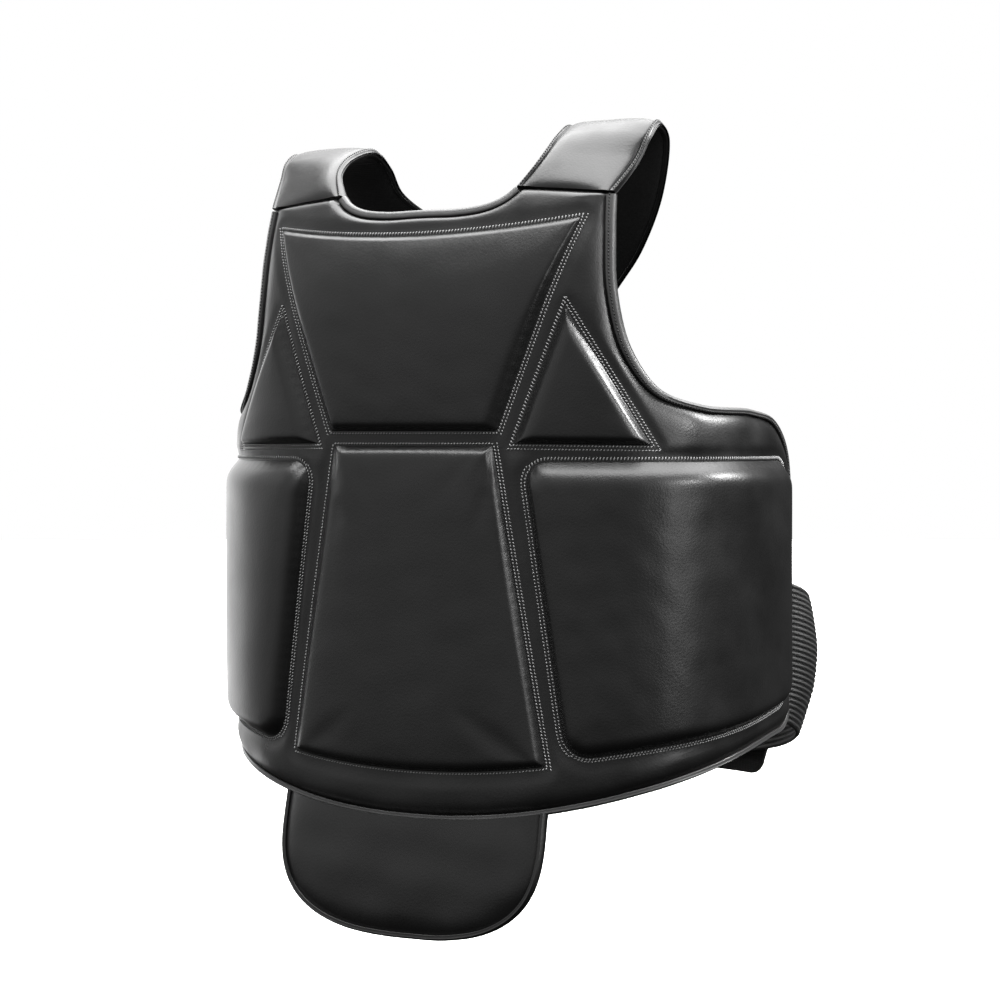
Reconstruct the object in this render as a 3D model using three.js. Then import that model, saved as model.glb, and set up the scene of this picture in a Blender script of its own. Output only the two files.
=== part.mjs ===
// Boxing chest protector: a padded leather shell wrapped round the front and sides of the torso, six raised
// pads sewn on its face, bound edges, shoulder straps that cross on the back, an elastic back band with a
// closure tab, and a padded flap that hangs below the hem.
// Millimetres. +X is the wearer's left, +Y the back and +Z up. The origin lies midway between the straps,
// level with the underside of their highest point, where they rest on the shoulders.

import * as THREE from "three";

// Driving sizes of the torso that the shell is shaped to, measured at the shell's outer face.
const TORSO = { halfWidth: 192, frontDepth: 140, backDepth: 162, centreY: 51, squareness: 2.6 };
// The chest curves back towards the shoulders above startZ, less so at easeArc from the centre and beyond.
const LEAN = { startZ: -112, rate: 0.003, ease: 0.3, easeArc: 126 };
const SHELL_WALL = 9;
const GAP = 0.5; // between pieces that are sewn together

// The shell's outline on its left half, unrolled: arc is the way round the torso from the centre front.
const NECK_EDGE = [
  { arc: 0, z: -45.5 },
  { arc: 28, z: -45.5 },
  { arc: 47, z: -43 },
  { arc: 59, z: -38 },
  { arc: 66, z: -32 },
];
const SHOULDER_SEAM = [
  { arc: 66, z: -32 },
  { arc: 131.5, z: -37 },
];
const ARMHOLE_EDGE = [
  { arc: 131.5, z: -37 },
  { arc: 134, z: -66 },
  { arc: 137, z: -100 },
  { arc: 146, z: -136 },
  { arc: 166, z: -163 },
  { arc: 199, z: -173.5 },
  { arc: 250, z: -176 },
  { arc: 290, z: -183 },
  { arc: 317, z: -205 },
  { arc: 326, z: -239 },
];
const SIDE_ARC = 326;
const HEM = { frontZ: -437, sideRise: 50, curve: 2.15, cornerRise: 12, cornerReach: 26 };

// Columns of the shell's grid on each stretch of its upper edge, and the arc where the last one meets
// the hem.
const SHELL_STRETCHES = [
  { edge: NECK_EDGE, columns: 6, footArc: 46 },
  { edge: SHOULDER_SEAM, columns: 3, footArc: 96 },
  { edge: ARMHOLE_EDGE, columns: 19, footArc: SIDE_ARC },
];
const SHELL_ROWS = 10;
const SHELL_ROW_CROWDING = 0.5; // below 1 the grid's rows lie closer together towards the shoulders

// Raised pads: corners on the unrolled shell, how far the top and bottom edges dip in the middle, corner
// radius, height above the shell, width of the rounded edge, and grid cells across and up between those
// edges.
const UPPER_CHEST_PAD = {
  bottomLeft: [-62, -188], bottomRight: [62, -188], topRight: [113, -53], topLeft: [-113, -53],
  topDip: 9, bottomDip: 0, corner: 2, height: 8, bevel: 7, cells: [15, 6],
};
const LOWER_CENTRE_PAD = {
  bottomLeft: [-94, -400], bottomRight: [94, -400], topRight: [59, -197], topLeft: [-59, -197],
  topDip: 0, bottomDip: 7, corner: 2, height: 8, bevel: 7, cells: [12, 4],
};
const CHEST_TRIANGLE_PAD = {
  bottomLeft: [73, -196], bottomRight: [161, -197], topRight: [107.5, -111], topLeft: [105.5, -111],
  topDip: 0, bottomDip: 0, corner: 0, height: 8, bevel: 8, cells: [6, 3],
};
const RIB_PAD = {
  bottomLeft: [107, -396], bottomRight: [305, -368], topRight: [303, -207], topLeft: [79, -207],
  topDip: 0, bottomDip: 0, corner: 17, height: 9.5, bevel: 15, cells: [15, 4],
};
const PAD_RIM = 1.5; // thickness of a pad at its sewn edge

// Leather strip folded over a cut edge: how far its legs reach in, its own thickness, the gap behind its
// inner leg, and how far it stops short of a seam across its end.
const BINDING = { leg: 4, thickness: 1.6, insideGap: 0.85, endGap: 1.5 };

// The left strap's outer face, from just above the shoulder seam over the shoulder and across the back to the
// band on the other side: its edge by the neck, its edge by the arm, and its thickness.
const STRAP_SECTIONS = [
  { neck: [75, -55, -14], arm: [136, -34, -15], thick: 8 },
  { neck: [77, -36, 0], arm: [139, -23, 0], thick: 8 },
  { neck: [74, -8, 8], arm: [139, -9, 8], thick: 8 },
  { neck: [73, 10, -3], arm: [137, 11, 0], thick: 7 },
  { neck: [71, 21, -22], arm: [125, 28, -32], thick: 6 },
  { neck: [53, 36, -43], arm: [101, 48, -65], thick: 5 },
  { neck: [18, 63, -70], arm: [65, 75, -96], thick: 5 },
  { neck: [-24, 98, -106], arm: [26, 106, -140], thick: 5 },
  { neck: [-57, 134, -166], arm: [-2, 146, -192], thick: 5 },
  { neck: [-89, 163, -233], arm: [-34, 175, -257], thick: 5 },
  { neck: [-114, 181, -300], arm: [-58, 196, -321], thick: 5 },
  { neck: [-124, 182, -338], arm: [-67, 200, -355], thick: 5 },
];
const STRAP = { rows: 30, columns: 6, edgeThinning: 3, crown: 1.5 };
// The left strap stands a little higher over the shoulder than the right one, up to a share of its length.
const STRAP_RISE = { left: 4.5, right: -3, reach: 0.55 };
// The right strap lies over the left one where they cross on the back.
const STRAP_CROSSING = { lift: 16, z: -126, reach: 150 };

// Elastic band round the back, sewn into the shell's side edges.
const BAND = {
  sideTopZ: -290, width: 96, droop: 34, droopReach: 140, thickness: 2.5, slack: 18, slackReach: 90,
};
const BAND_GRID = { along: 34, up: 4 };

// Closure tab on the band's outer face, on the left half of the back. Its end is cut at a slant.
const TAB = {
  fromArc: 385, slant: 45, toArc: 560, topZ: -328, bottomZ: -435, corner: 10, thickness: 3, gap: 1.2,
};
const TAB_GRID = { along: 10, up: 6 };

// Flap below the hem.
const FLAP = {
  centreX: -5, halfWidth: 96, hangZ: -428, bottomZ: -513.5, sideZ: -446, roundness: 2.7, forward: 6,
  flatten: 0.25, thickness: 7,
};
const FLAP_GRID = { across: 16, up: 6 };

const LEATHER = new THREE.MeshStandardMaterial({ color: 0x1d1d1e, roughness: 0.42, metalness: 0 });
const BINDING_LEATHER = new THREE.MeshStandardMaterial({ color: 0x171718, roughness: 0.38, metalness: 0 });
const ELASTIC = new THREE.MeshStandardMaterial({ color: 0x121213, roughness: 0.85, metalness: 0 });
const TAB_FABRIC = new THREE.MeshStandardMaterial({ color: 0x0f0f10, roughness: 0.9, metalness: 0 });

// The torso's outline at the shell's outer face, from the centre front round the left side to the back.
class TorsoSection extends THREE.Curve {
  getPoint(share, target = new THREE.Vector2()) {
    const angle = share * Math.PI;
    const power = 2 / TORSO.squareness;
    const forward = Math.cos(angle);
    const depth = forward > 0 ? TORSO.frontDepth : TORSO.backDepth;
    const x = TORSO.halfWidth * Math.abs(Math.sin(angle)) ** power;
    return target.set(x, TORSO.centreY - depth * Math.sign(forward) * Math.abs(forward) ** power);
  }
}
const section = new TorsoSection();
section.arcLengthDivisions = 720;
const HALF_GIRTH = section.getLength();

const lerp = THREE.MathUtils.lerp;

// A point that stands `lift` off the shell's outer face, at a place on the unrolled torso. An arc past the
// centre back goes on round to the right side.
function onTorso(arc, z, lift) {
  const wrapped = arc > HALF_GIRTH ? arc - 2 * HALF_GIRTH : arc;
  const side = wrapped < 0 ? -1 : 1;
  const share = Math.abs(wrapped) / HALF_GIRTH;
  const point = section.getPointAt(share);
  const along = section.getTangentAt(share);
  const above = Math.max(0, z - LEAN.startZ);
  const rate = LEAN.rate * (1 - LEAN.ease * Math.min(1, Math.abs(wrapped) / LEAN.easeArc) ** 2);
  const slope = 2 * rate * above;
  const normal = new THREE.Vector3(side * along.y, -along.x, slope * along.x).normalize();
  return new THREE.Vector3(side * point.x, point.y + rate * above ** 2, z).addScaledVector(normal, lift);
}

function hemZ(arc) {
  const share = Math.min(1, Math.abs(arc) / SIDE_ARC);
  const corner = Math.max(0, 1 - (SIDE_ARC * (1 - share)) / HEM.cornerReach);
  const sweep = Math.sin((Math.PI / 2) * share) ** HEM.curve;
  return HEM.frontZ + HEM.sideRise * sweep + HEM.cornerRise * corner ** 2;
}

// A closed solid sheet: a block's grid, bent into shape. `place` takes a station across, a station up and the
// side of the sheet, 0 inside or 1 outside, and gives the point there.
function bentSheet(across, up, place) {
  const geometry = new THREE.BoxGeometry(1, 1, 1, across, up, 1);
  const points = geometry.getAttribute("position");
  for (let i = 0; i < points.count; i++) {
    const column = Math.round((points.getX(i) + 0.5) * across);
    const row = Math.round((points.getY(i) + 0.5) * up);
    const face = Math.round(points.getZ(i) + 0.5);
    const point = place(column, row, face);
    points.setXYZ(i, point.x, point.y, point.z);
  }
  geometry.computeVertexNormals();
  return geometry;
}

function named(name, geometry, material) {
  const mesh = new THREE.Mesh(geometry, material);
  mesh.name = name;
  return mesh;
}

const mirrored = (point) => new THREE.Vector3(-point.x, point.y, point.z);
const flipRow = (station) => ({ ...station, arc: -station.arc, footArc: -station.footArc });

// Stations along the shell's upper edge on the left half, each with the arc where its column meets the hem.
function upperEdgeStations() {
  const stations = [];
  let footFrom = 0;
  for (const { edge, columns, footArc } of SHELL_STRETCHES) {
    const curve = new THREE.SplineCurve(edge.map(({ arc, z }) => new THREE.Vector2(arc, z)));
    curve.getSpacedPoints(columns).forEach((point, i) => {
      const station = { arc: point.x, z: point.y, footArc: lerp(footFrom, footArc, i / columns) };
      if (i > 0 || stations.length === 0) stations.push(station);
    });
    footFrom = footArc;
  }
  return stations;
}
const LEFT_STATIONS = upperEdgeStations();
const SHELL_STATIONS = [...LEFT_STATIONS.slice(1).reverse().map(flipRow), ...LEFT_STATIONS];
const NECK_END = SHELL_STRETCHES[0].columns;
const SEAM_END = NECK_END + SHELL_STRETCHES[1].columns;

function frontShell() {
  return bentSheet(SHELL_STATIONS.length - 1, SHELL_ROWS, (column, row, face) => {
    const { arc, z, footArc } = SHELL_STATIONS[column];
    const share = (row / SHELL_ROWS) ** SHELL_ROW_CROWDING;
    return onTorso(lerp(footArc, arc, share), lerp(hemZ(footArc), z, share), face ? 0 : -SHELL_WALL);
  });
}

// Shares along a pad's side, close together over its rounded edges.
function padShares(length, bevel, cells) {
  const edge = bevel / length;
  const shares = [0, 0.35 * edge];
  for (let i = 0; i <= cells; i++) shares.push(lerp(edge, 1 - edge, i / cells));
  return [...shares, 1 - 0.35 * edge, 1];
}

// A place on a pad, from its shares across and up: where it is on the unrolled shell, and its distance from
// the pad's outline. A square corner is drawn in to a round one as a square is mapped to a disc.
function padPlace(pad, across, up) {
  const height = pad.topLeft[1] - pad.bottomLeft[1];
  const width = lerp(pad.bottomRight[0] - pad.bottomLeft[0], pad.topRight[0] - pad.topLeft[0], up);
  let fromSide = Math.min(across, 1 - across) * width;
  let fromEnd = Math.min(up, 1 - up) * height;
  let distance = Math.min(fromSide, fromEnd);
  if (fromSide < pad.corner && fromEnd < pad.corner) {
    const [x, y] = [1 - fromSide / pad.corner, 1 - fromEnd / pad.corner];
    const [roundX, roundY] = [x * Math.sqrt(1 - y ** 2 / 2), y * Math.sqrt(1 - x ** 2 / 2)];
    fromSide = pad.corner * (1 - roundX);
    fromEnd = pad.corner * (1 - roundY);
    distance = pad.corner * (1 - Math.hypot(roundX, roundY));
  }
  const p = across < 0.5 ? fromSide / width : 1 - fromSide / width;
  const q = up < 0.5 ? fromEnd / height : 1 - fromEnd / height;
  const along = (axis) => {
    const left = lerp(pad.bottomLeft[axis], pad.topLeft[axis], q);
    return lerp(left, lerp(pad.bottomRight[axis], pad.topRight[axis], q), p);
  };
  const dip = lerp(pad.bottomDip, pad.topDip, q) * 4 * p * (1 - p);
  return { arc: along(0), z: along(1) - dip, distance };
}

function padGeometry(pad, side) {
  const width = Math.max(pad.bottomRight[0] - pad.bottomLeft[0], pad.topRight[0] - pad.topLeft[0]);
  const acrossShares = padShares(width, pad.bevel, pad.cells[0]);
  const upShares = padShares(pad.topLeft[1] - pad.bottomLeft[1], pad.bevel, pad.cells[1]);
  return bentSheet(acrossShares.length - 1, upShares.length - 1, (column, row, face) => {
    const across = side > 0 ? acrossShares[column] : 1 - acrossShares[column];
    const { arc, z, distance } = padPlace(pad, across, upShares[row]);
    const slope = 1 - Math.min(1, Math.max(0, distance) / pad.bevel);
    const top = lerp(PAD_RIM, pad.height, Math.sqrt(1 - slope ** 2));
    return onTorso(side * arc, z, GAP + (face ? top : 0));
  });
}

// A strip folded over the edge of a sheet. `rim` runs along the edge with the sheet on its left, seen from
// outside, and `surface` gives a point at a lift off the sheet's outer face.
function bindingGeometry(rim, surface, wall) {
  const { leg, thickness } = BINDING;
  const under = -wall - BINDING.insideGap;
  const fold = [
    [{ inward: leg, lift: under }, { inward: leg, lift: under - thickness }],
    [{ inward: -GAP, lift: under }, { inward: -GAP - 0.5 * thickness, lift: under - 0.9 * thickness }],
    [{ inward: -GAP, lift: -wall / 2 }, { inward: -GAP - 1.3 * thickness, lift: -wall / 2 }],
    [{ inward: -GAP, lift: GAP }, { inward: -GAP - 0.5 * thickness, lift: GAP + 0.9 * thickness }],
    [{ inward: leg, lift: GAP }, { inward: leg, lift: GAP + thickness }],
  ];
  const inwards = rim.map((_, i) => {
    const [from, to] = [rim[Math.max(0, i - 1)], rim[Math.min(rim.length - 1, i + 1)]];
    return new THREE.Vector2(from.z - to.z, to.arc - from.arc).normalize();
  });
  return bentSheet(rim.length - 1, fold.length - 1, (column, row, face) => {
    const { inward, lift } = fold[row][face];
    const { arc, z } = rim[column];
    return surface(arc + inwards[column].x * inward, z + inwards[column].y * inward, lift);
  });
}

// The part of a row of stations that ends a little short of its last one.
function shortOfSeam(stations) {
  const [before, last] = stations.slice(-2);
  const share = BINDING.endGap / Math.hypot(last.arc - before.arc, last.z - before.z);
  const end = { arc: lerp(last.arc, before.arc, share), z: lerp(last.z, before.z, share) };
  return [...stations.slice(0, -1), end];
}

const LEFT_ARMHOLE_RIM = shortOfSeam(LEFT_STATIONS.slice(SEAM_END).reverse());
const LEFT_NECK_RIM = shortOfSeam(LEFT_STATIONS.slice(0, NECK_END + 1));
const NECK_RIM = [...LEFT_NECK_RIM.slice(1).reverse(), ...LEFT_NECK_RIM.map(flipRow)];
const LEFT_HEM_RIM = shortOfSeam(LEFT_STATIONS.map(({ footArc }) => ({ arc: footArc, z: hemZ(footArc) })));
const HEM_RIM = [...LEFT_HEM_RIM.slice(1).map(flipRow).reverse(), ...LEFT_HEM_RIM];

// The strap's two edges as curves through its sections, and its thickness along it.
function strapCurves() {
  const above = 1.6 * GAP;
  const seam = SHOULDER_SEAM.map(({ arc, z }) => onTorso(arc, z, 0).setZ(z + above));
  const through = (start, points) =>
    new THREE.CatmullRomCurve3([start, ...points.map((p) => new THREE.Vector3(...p))], false, "centripetal");
  return {
    neck: through(seam[0], STRAP_SECTIONS.map(({ neck }) => neck)),
    arm: through(seam[1], STRAP_SECTIONS.map(({ arm }) => arm)),
    thick: [SHELL_WALL, ...STRAP_SECTIONS.map(({ thick }) => thick)],
  };
}
const STRAP_CURVES = strapCurves();

// The direction out of the shell's face at the middle of the shoulder seam.
const SEAM_MIDDLE = { arc: (SHOULDER_SEAM[0].arc + SHOULDER_SEAM[1].arc) / 2, z: SHOULDER_SEAM[1].z };
const SEAM_FACE = onTorso(SEAM_MIDDLE.arc, SEAM_MIDDLE.z, 0);
const SEAM_OUTWARD = onTorso(SEAM_MIDDLE.arc, SEAM_MIDDLE.z, 1).sub(SEAM_FACE);

// A point of a strap on the left, from its shares across and along. `rise` raises it over the shoulder and
// `lift` raises it off its own line on the back.
function strapPoint(across, along, face, rise, lift) {
  const { neck, arm, thick } = STRAP_CURVES;
  const centre = (share) => neck.getPoint(share).lerp(arm.getPoint(share), 0.5);
  const step = 0.004;
  const tangent = centre(Math.min(1, along + step)).sub(centre(Math.max(0, along - step)));
  const width = arm.getPoint(along).sub(neck.getPoint(along));
  const place = along * (thick.length - 1);
  const row = Math.min(thick.length - 2, Math.floor(place));
  const outward = new THREE.Vector3().crossVectors(width, tangent).normalize();
  outward.lerp(SEAM_OUTWARD, Math.max(0, 1 - place)).normalize();
  const middle = 4 * across * (1 - across);
  const crown = STRAP.crown * middle * Math.sin(Math.PI * along);
  const thinning = STRAP.edgeThinning * (1 - middle) * Math.min(1, place);
  const thickness = lerp(thick[row], thick[row + 1], place - row) - thinning;
  const point = neck.getPoint(along).lerp(arm.getPoint(along), across);
  const fromCrossing = Math.min(1, Math.abs(point.z - STRAP_CROSSING.z) / STRAP_CROSSING.reach);
  const onBack = point.y > 0 ? lift * Math.cos((Math.PI / 2) * fromCrossing) ** 2 : 0;
  point.z += rise * Math.sin(Math.PI * Math.min(1, along / STRAP_RISE.reach)) ** 2;
  return point.addScaledVector(outward, onBack + crown - (face ? 0 : thickness));
}

const leftStrap = () =>
  bentSheet(STRAP.columns, STRAP.rows, (column, row, face) =>
    strapPoint(column / STRAP.columns, row / STRAP.rows, face, STRAP_RISE.left, 0));

const rightStrap = () =>
  bentSheet(STRAP.columns, STRAP.rows, (column, row, face) => {
    const across = 1 - column / STRAP.columns;
    return mirrored(strapPoint(across, row / STRAP.rows, face, STRAP_RISE.right, STRAP_CROSSING.lift));
  });

// The band hangs lower towards the back, stands off the torso just behind the side edges and draws in below.
function bandPlace(arc, up) {
  const fromSide = Math.min(arc, 2 * HALF_GIRTH - arc) - SIDE_ARC;
  const drop = BAND.droop * Math.sin((Math.PI / 2) * Math.min(1, fromSide / BAND.droopReach));
  const slackShare = Math.min(1, fromSide / BAND.slackReach);
  const bulge = Math.sin(Math.PI * (0.1 + 0.66 * up));
  const slack = BAND.slack * Math.sin(Math.PI * slackShare ** 0.7) * bulge;
  return { z: BAND.sideTopZ - BAND.width * (1 - up) - drop, lift: slack - SHELL_WALL / 2 };
}

function elasticBand() {
  const [from, to] = [SIDE_ARC + GAP, 2 * HALF_GIRTH - SIDE_ARC - GAP];
  return bentSheet(BAND_GRID.along, BAND_GRID.up, (column, row, face) => {
    const arc = lerp(from, to, column / BAND_GRID.along);
    const { z, lift } = bandPlace(arc, row / BAND_GRID.up);
    return onTorso(arc, z, lift + (face - 0.5) * BAND.thickness);
  });
}

function closureTab() {
  const [length, height] = [TAB.toArc - TAB.fromArc, TAB.topZ - TAB.bottomZ];
  const pad = {
    bottomLeft: [TAB.slant, 0], bottomRight: [length, 0], topRight: [length, height], topLeft: [0, height],
    topDip: 0, bottomDip: 0, corner: TAB.corner,
  };
  const seat = BAND.thickness / 2 + TAB.gap;
  return bentSheet(TAB_GRID.along, TAB_GRID.up, (column, row, face) => {
    const place = padPlace(pad, column / TAB_GRID.along, row / TAB_GRID.up);
    const [arc, z] = [TAB.fromArc + place.arc, TAB.bottomZ + place.z];
    const up = THREE.MathUtils.clamp(1 + (z - bandPlace(arc, 1).z) / BAND.width, 0, 1);
    return onTorso(arc, z, bandPlace(arc, up).lift + seat + face * TAB.thickness);
  });
}

// A point at a lift off the flap's front face. The flap is curved with the hem at its top, flatter and
// a little further forward below.
function onFlap(x, z, lift) {
  const down = THREE.MathUtils.clamp((FLAP.hangZ - z) / (FLAP.hangZ - FLAP.bottomZ), 0, 1);
  const hung = 1 - (1 - down) ** 1.7;
  const middle = onTorso(0, z, 0).y;
  const curved = (onTorso(x, z, 0).y - middle) * lerp(1, FLAP.flatten, hung);
  return new THREE.Vector3(x, middle + curved - FLAP.forward * hung - lift, z);
}

const flapTopZ = (x) => hemZ(x) - 2 * GAP - 1.3 * BINDING.thickness;
const flapBottomZ = (x) => {
  const share = Math.min(1, Math.abs(x - FLAP.centreX) / FLAP.halfWidth);
  return lerp(FLAP.sideZ, FLAP.bottomZ, (1 - share ** FLAP.roundness) ** (1 / FLAP.roundness));
};
const flapX = (column) => {
  const across = Math.sin((Math.PI / 2) * ((2 * column) / FLAP_GRID.across - 1));
  return FLAP.centreX + FLAP.halfWidth * across;
};

function hemFlap() {
  return bentSheet(FLAP_GRID.across, FLAP_GRID.up, (column, row, face) => {
    const x = flapX(column);
    return onFlap(x, lerp(flapBottomZ(x), flapTopZ(x), row / FLAP_GRID.up), face ? 0 : -FLAP.thickness);
  });
}

function flapRim() {
  const rim = Array.from({ length: FLAP_GRID.across + 1 }, (_, column) => {
    const x = flapX(column);
    return { arc: x, z: flapBottomZ(x) };
  });
  const corner = (x) => ({ arc: x, z: flapTopZ(x) - GAP });
  return [corner(rim[0].arc), ...rim, corner(rim[rim.length - 1].arc)];
}

function chestProtector() {
  const group = new THREE.Group();
  group.name = "boxing_chest_protector";
  group.add(
    named("front_shell", frontShell(), LEATHER),
    named("upper_chest_pad", padGeometry(UPPER_CHEST_PAD, 1), LEATHER),
    named("lower_centre_pad", padGeometry(LOWER_CENTRE_PAD, 1), LEATHER),
    named("left_triangle_pad", padGeometry(CHEST_TRIANGLE_PAD, 1), LEATHER),
    named("right_triangle_pad", padGeometry(CHEST_TRIANGLE_PAD, -1), LEATHER),
    named("left_rib_pad", padGeometry(RIB_PAD, 1), LEATHER),
    named("right_rib_pad", padGeometry(RIB_PAD, -1), LEATHER),
    named("neck_binding", bindingGeometry(NECK_RIM, onTorso, SHELL_WALL), BINDING_LEATHER),
    named("left_armhole_binding", bindingGeometry(LEFT_ARMHOLE_RIM, onTorso, SHELL_WALL), BINDING_LEATHER),
    named(
      "right_armhole_binding",
      bindingGeometry(LEFT_ARMHOLE_RIM.map(flipRow).reverse(), onTorso, SHELL_WALL),
      BINDING_LEATHER,
    ),
    named("hem_binding", bindingGeometry(HEM_RIM, onTorso, SHELL_WALL), BINDING_LEATHER),
    named("left_shoulder_strap", leftStrap(), LEATHER),
    named("right_shoulder_strap", rightStrap(), LEATHER),
    named("elastic_band", elasticBand(), ELASTIC),
    named("closure_tab", closureTab(), TAB_FABRIC),
    named("hem_flap", hemFlap(), LEATHER),
    named("flap_binding", bindingGeometry(flapRim(), onFlap, FLAP.thickness), BINDING_LEATHER),
  );
  return group;
}

export default chestProtector();
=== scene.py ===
"""Boxing chest protector: padded leather shell, six raised pads, bound edges, crossed shoulder straps, an
elastic back band with a closure tab, and a padded flap below the hem. Tables are in millimetres."""

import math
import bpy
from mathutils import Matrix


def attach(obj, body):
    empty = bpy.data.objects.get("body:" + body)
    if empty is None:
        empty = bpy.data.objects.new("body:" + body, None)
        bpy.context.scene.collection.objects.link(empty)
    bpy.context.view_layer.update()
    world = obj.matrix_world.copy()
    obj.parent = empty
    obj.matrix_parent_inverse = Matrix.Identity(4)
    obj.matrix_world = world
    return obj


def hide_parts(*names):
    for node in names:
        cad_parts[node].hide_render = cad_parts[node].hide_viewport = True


bl_info = {
    "name": "Boxing chest protector",
    "version": (1, 0, 0),
    "blender": (4, 5, 0),
    "location": "View3D > Sidebar > Protector",
    "description": "Builds the leather, padding, stitching and elastic of a boxing chest protector",
    "category": "Object",
}

import bmesh
import bpy
import numpy as np
from mathutils import Vector, kdtree

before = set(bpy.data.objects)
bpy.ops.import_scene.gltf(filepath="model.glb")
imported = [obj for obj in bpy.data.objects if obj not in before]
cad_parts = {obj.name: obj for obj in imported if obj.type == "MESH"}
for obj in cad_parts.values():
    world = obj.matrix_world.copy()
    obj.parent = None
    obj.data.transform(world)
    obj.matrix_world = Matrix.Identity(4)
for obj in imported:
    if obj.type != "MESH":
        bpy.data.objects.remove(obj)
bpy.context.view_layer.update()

MM = 0.001

# The torso that the shell is shaped to, measured at the shell's outer face.
TORSO = {"half_width": 192, "front_depth": 140, "back_depth": 162, "centre_y": 51, "squareness": 2.6}
LEAN = {"start_z": -112, "rate": 0.003, "ease": 0.3, "ease_arc": 126}

# The shell's outline on its left half, unrolled: (way round the torso from the centre front, height).
NECK_EDGE = [(0, -45.5), (28, -45.5), (47, -43), (59, -38), (66, -32)]
SHOULDER_SEAM = [(66, -32), (131.5, -37)]
ARMHOLE_EDGE = [
    (131.5, -37), (134, -66), (137, -100), (146, -136), (166, -163),
    (199, -173.5), (250, -176), (290, -183), (317, -205), (326, -239),
]
SIDE_ARC = 326
SIDE_TOP_Z = -239
HEM = {"front_z": -437, "side_rise": 50, "curve": 2.15, "corner_rise": 12, "corner_reach": 26}
# Upper edge, columns of the grid along it, and the arc where its last column meets the hem.
SHELL_STRETCHES = [(NECK_EDGE, 28, 46), (SHOULDER_SEAM, 24, 96), (ARMHOLE_EDGE, 116, SIDE_ARC)]
# Rows of the shell's grid near its edges, as ways in from the edge, and the number of rows between them.
EDGE_ROWS = (0, 1.3, 2.4, 3.1, 3.9, 4.5, 5.1, 5.7, 6.5, 7.6, 9.0, 11.0, 13.5, 17.0)
MIDDLE_ROWS = 92

# Raised pads: corners on the unrolled shell from the bottom left anticlockwise, dip of the bottom and top
# edges, corner radius, height, steepness of the four sides, how softly they turn into the face, the face's
# crown and the side of the body. A pad with a top_step rises to it at its top edge and slowly from there on.
PAD_SIDES = ("bottom", "right", "top", "left")
SLOW_RISE = 0.09
PADS = {
    "upper_chest_pad": {
        "corners": [(-62, -188), (62, -188), (113, -53), (-113, -53)], "dips": (0, 9), "corner": 2,
        "height": 6.6, "rise": (1.7, 0.95, 0.7, 0.95), "soft": 2.8, "crown": 1.6, "side": 1, "top_step": 1.6,
    },
    "lower_centre_pad": {
        "corners": [(-94, -400), (94, -400), (59, -197), (-59, -197)], "dips": (7, 0), "corner": 2,
        "height": 6.6, "rise": (1.6, 1.5, 1.5, 0.92), "soft": 4.0, "crown": 1.2, "side": 1,
    },
    "left_triangle_pad": {
        "corners": [(73, -196), (161, -197), (107.5, -111), (105.5, -111)], "dips": (0, 0), "corner": 0,
        "height": 7.0, "rise": (2.0, 1.2, 1.5, 0.9), "soft": 3.0, "crown": 1.2, "side": 1,
    },
    "left_rib_pad": {
        "corners": [(107, -396), (305, -368), (303, -207), (79, -207)], "dips": (0, 0), "corner": 17,
        "height": 8.4, "rise": (1.3, 1.2, 0.8, 1.5), "soft": 4.0, "crown": 1.0, "side": 1,
    },
}
for kind in ("triangle_pad", "rib_pad"):
    PADS["right_" + kind] = {**PADS["left_" + kind], "side": -1}
# Rows of a pad's grid near its edges, as ways in from the edge, and the step between the rows of its face.
PAD_EDGE_ROWS = (0, 0.5, 1.2, 2.1, 3.2, 4.6, 6.6, 9.6)
PAD_STEP = 4.5
# A pad's sewn foot under the shell's face, its underside below that, the width of its sewn edge, and the way
# in over which the crown rises.
PAD_FOOT = {"sunk": 0.2, "under": 0.6, "sewn": 1.0, "crown_reach": 18}
# Tucks beside a sewn edge: pitch, way in to their deepest place, width, and where the uneven face starts.
TUCKS = {"pitch": 7.3, "at": 4, "width": 4.5, "face_from": 6, "face_reach": 14}
# Cloth that swells into a pad: mass in kg, stiffness, pressure and length of the simulation in frames.
FILLING = {"quality": 6, "mass": 0.4, "tension": 40, "shear": 20, "bending": 6, "pressure": 4, "frames": 20}
# Unevenness of each surface: height, length of its waves and seed.
UNEVEN = {
    "shell": (0.35, 55, 3), "lining": (0.3, 80, 5), "band": (0.25, 30, 11), "tab": (0.25, 40, 21),
    "flap": (0.4, 42, 31), "tucks": (1.6, 31, 40), "pad": (0.07, 26, 60), "binding": (0.2, 24, 80),
    "strap": (0.35, 48, 90),
}

# The left strap's outer face from the shoulder seam over the shoulder to the band on the other side: its edge
# by the neck, its edge by the arm, and its thickness.
STRAP_SECTIONS = [
    ((75, -55, -14), (136, -34, -15), 8), ((77, -36, 0), (139, -23, 0), 8), ((74, -8, 8), (139, -9, 8), 8),
    ((73, 10, -3), (137, 11, 0), 7), ((71, 21, -22), (125, 28, -32), 6), ((53, 36, -43), (101, 48, -65), 5),
    ((18, 63, -70), (65, 75, -96), 5), ((-24, 98, -106), (26, 106, -140), 5),
    ((-57, 134, -166), (-2, 146, -192), 5), ((-89, 163, -233), (-34, 175, -257), 5),
    ((-114, 181, -300), (-58, 196, -321), 5), ((-124, 182, -338), (-67, 200, -355), 5),
]
STRAP = {"edge_thinning": 3, "crown": 1.5, "seam_gap": 0.8, "seam_thick": 9, "rows": 230, "look": 0.004}
MIRROR = {"left": (1, 1, 1), "right": (-1, 1, 1)}
# Where a strap is sewn down: the way along it and the depth that it is pressed, and what its edge keeps.
STRAP_SEWN = {"reach": 3.5, "depth": 1.6, "edge_share": 0.75}
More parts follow.
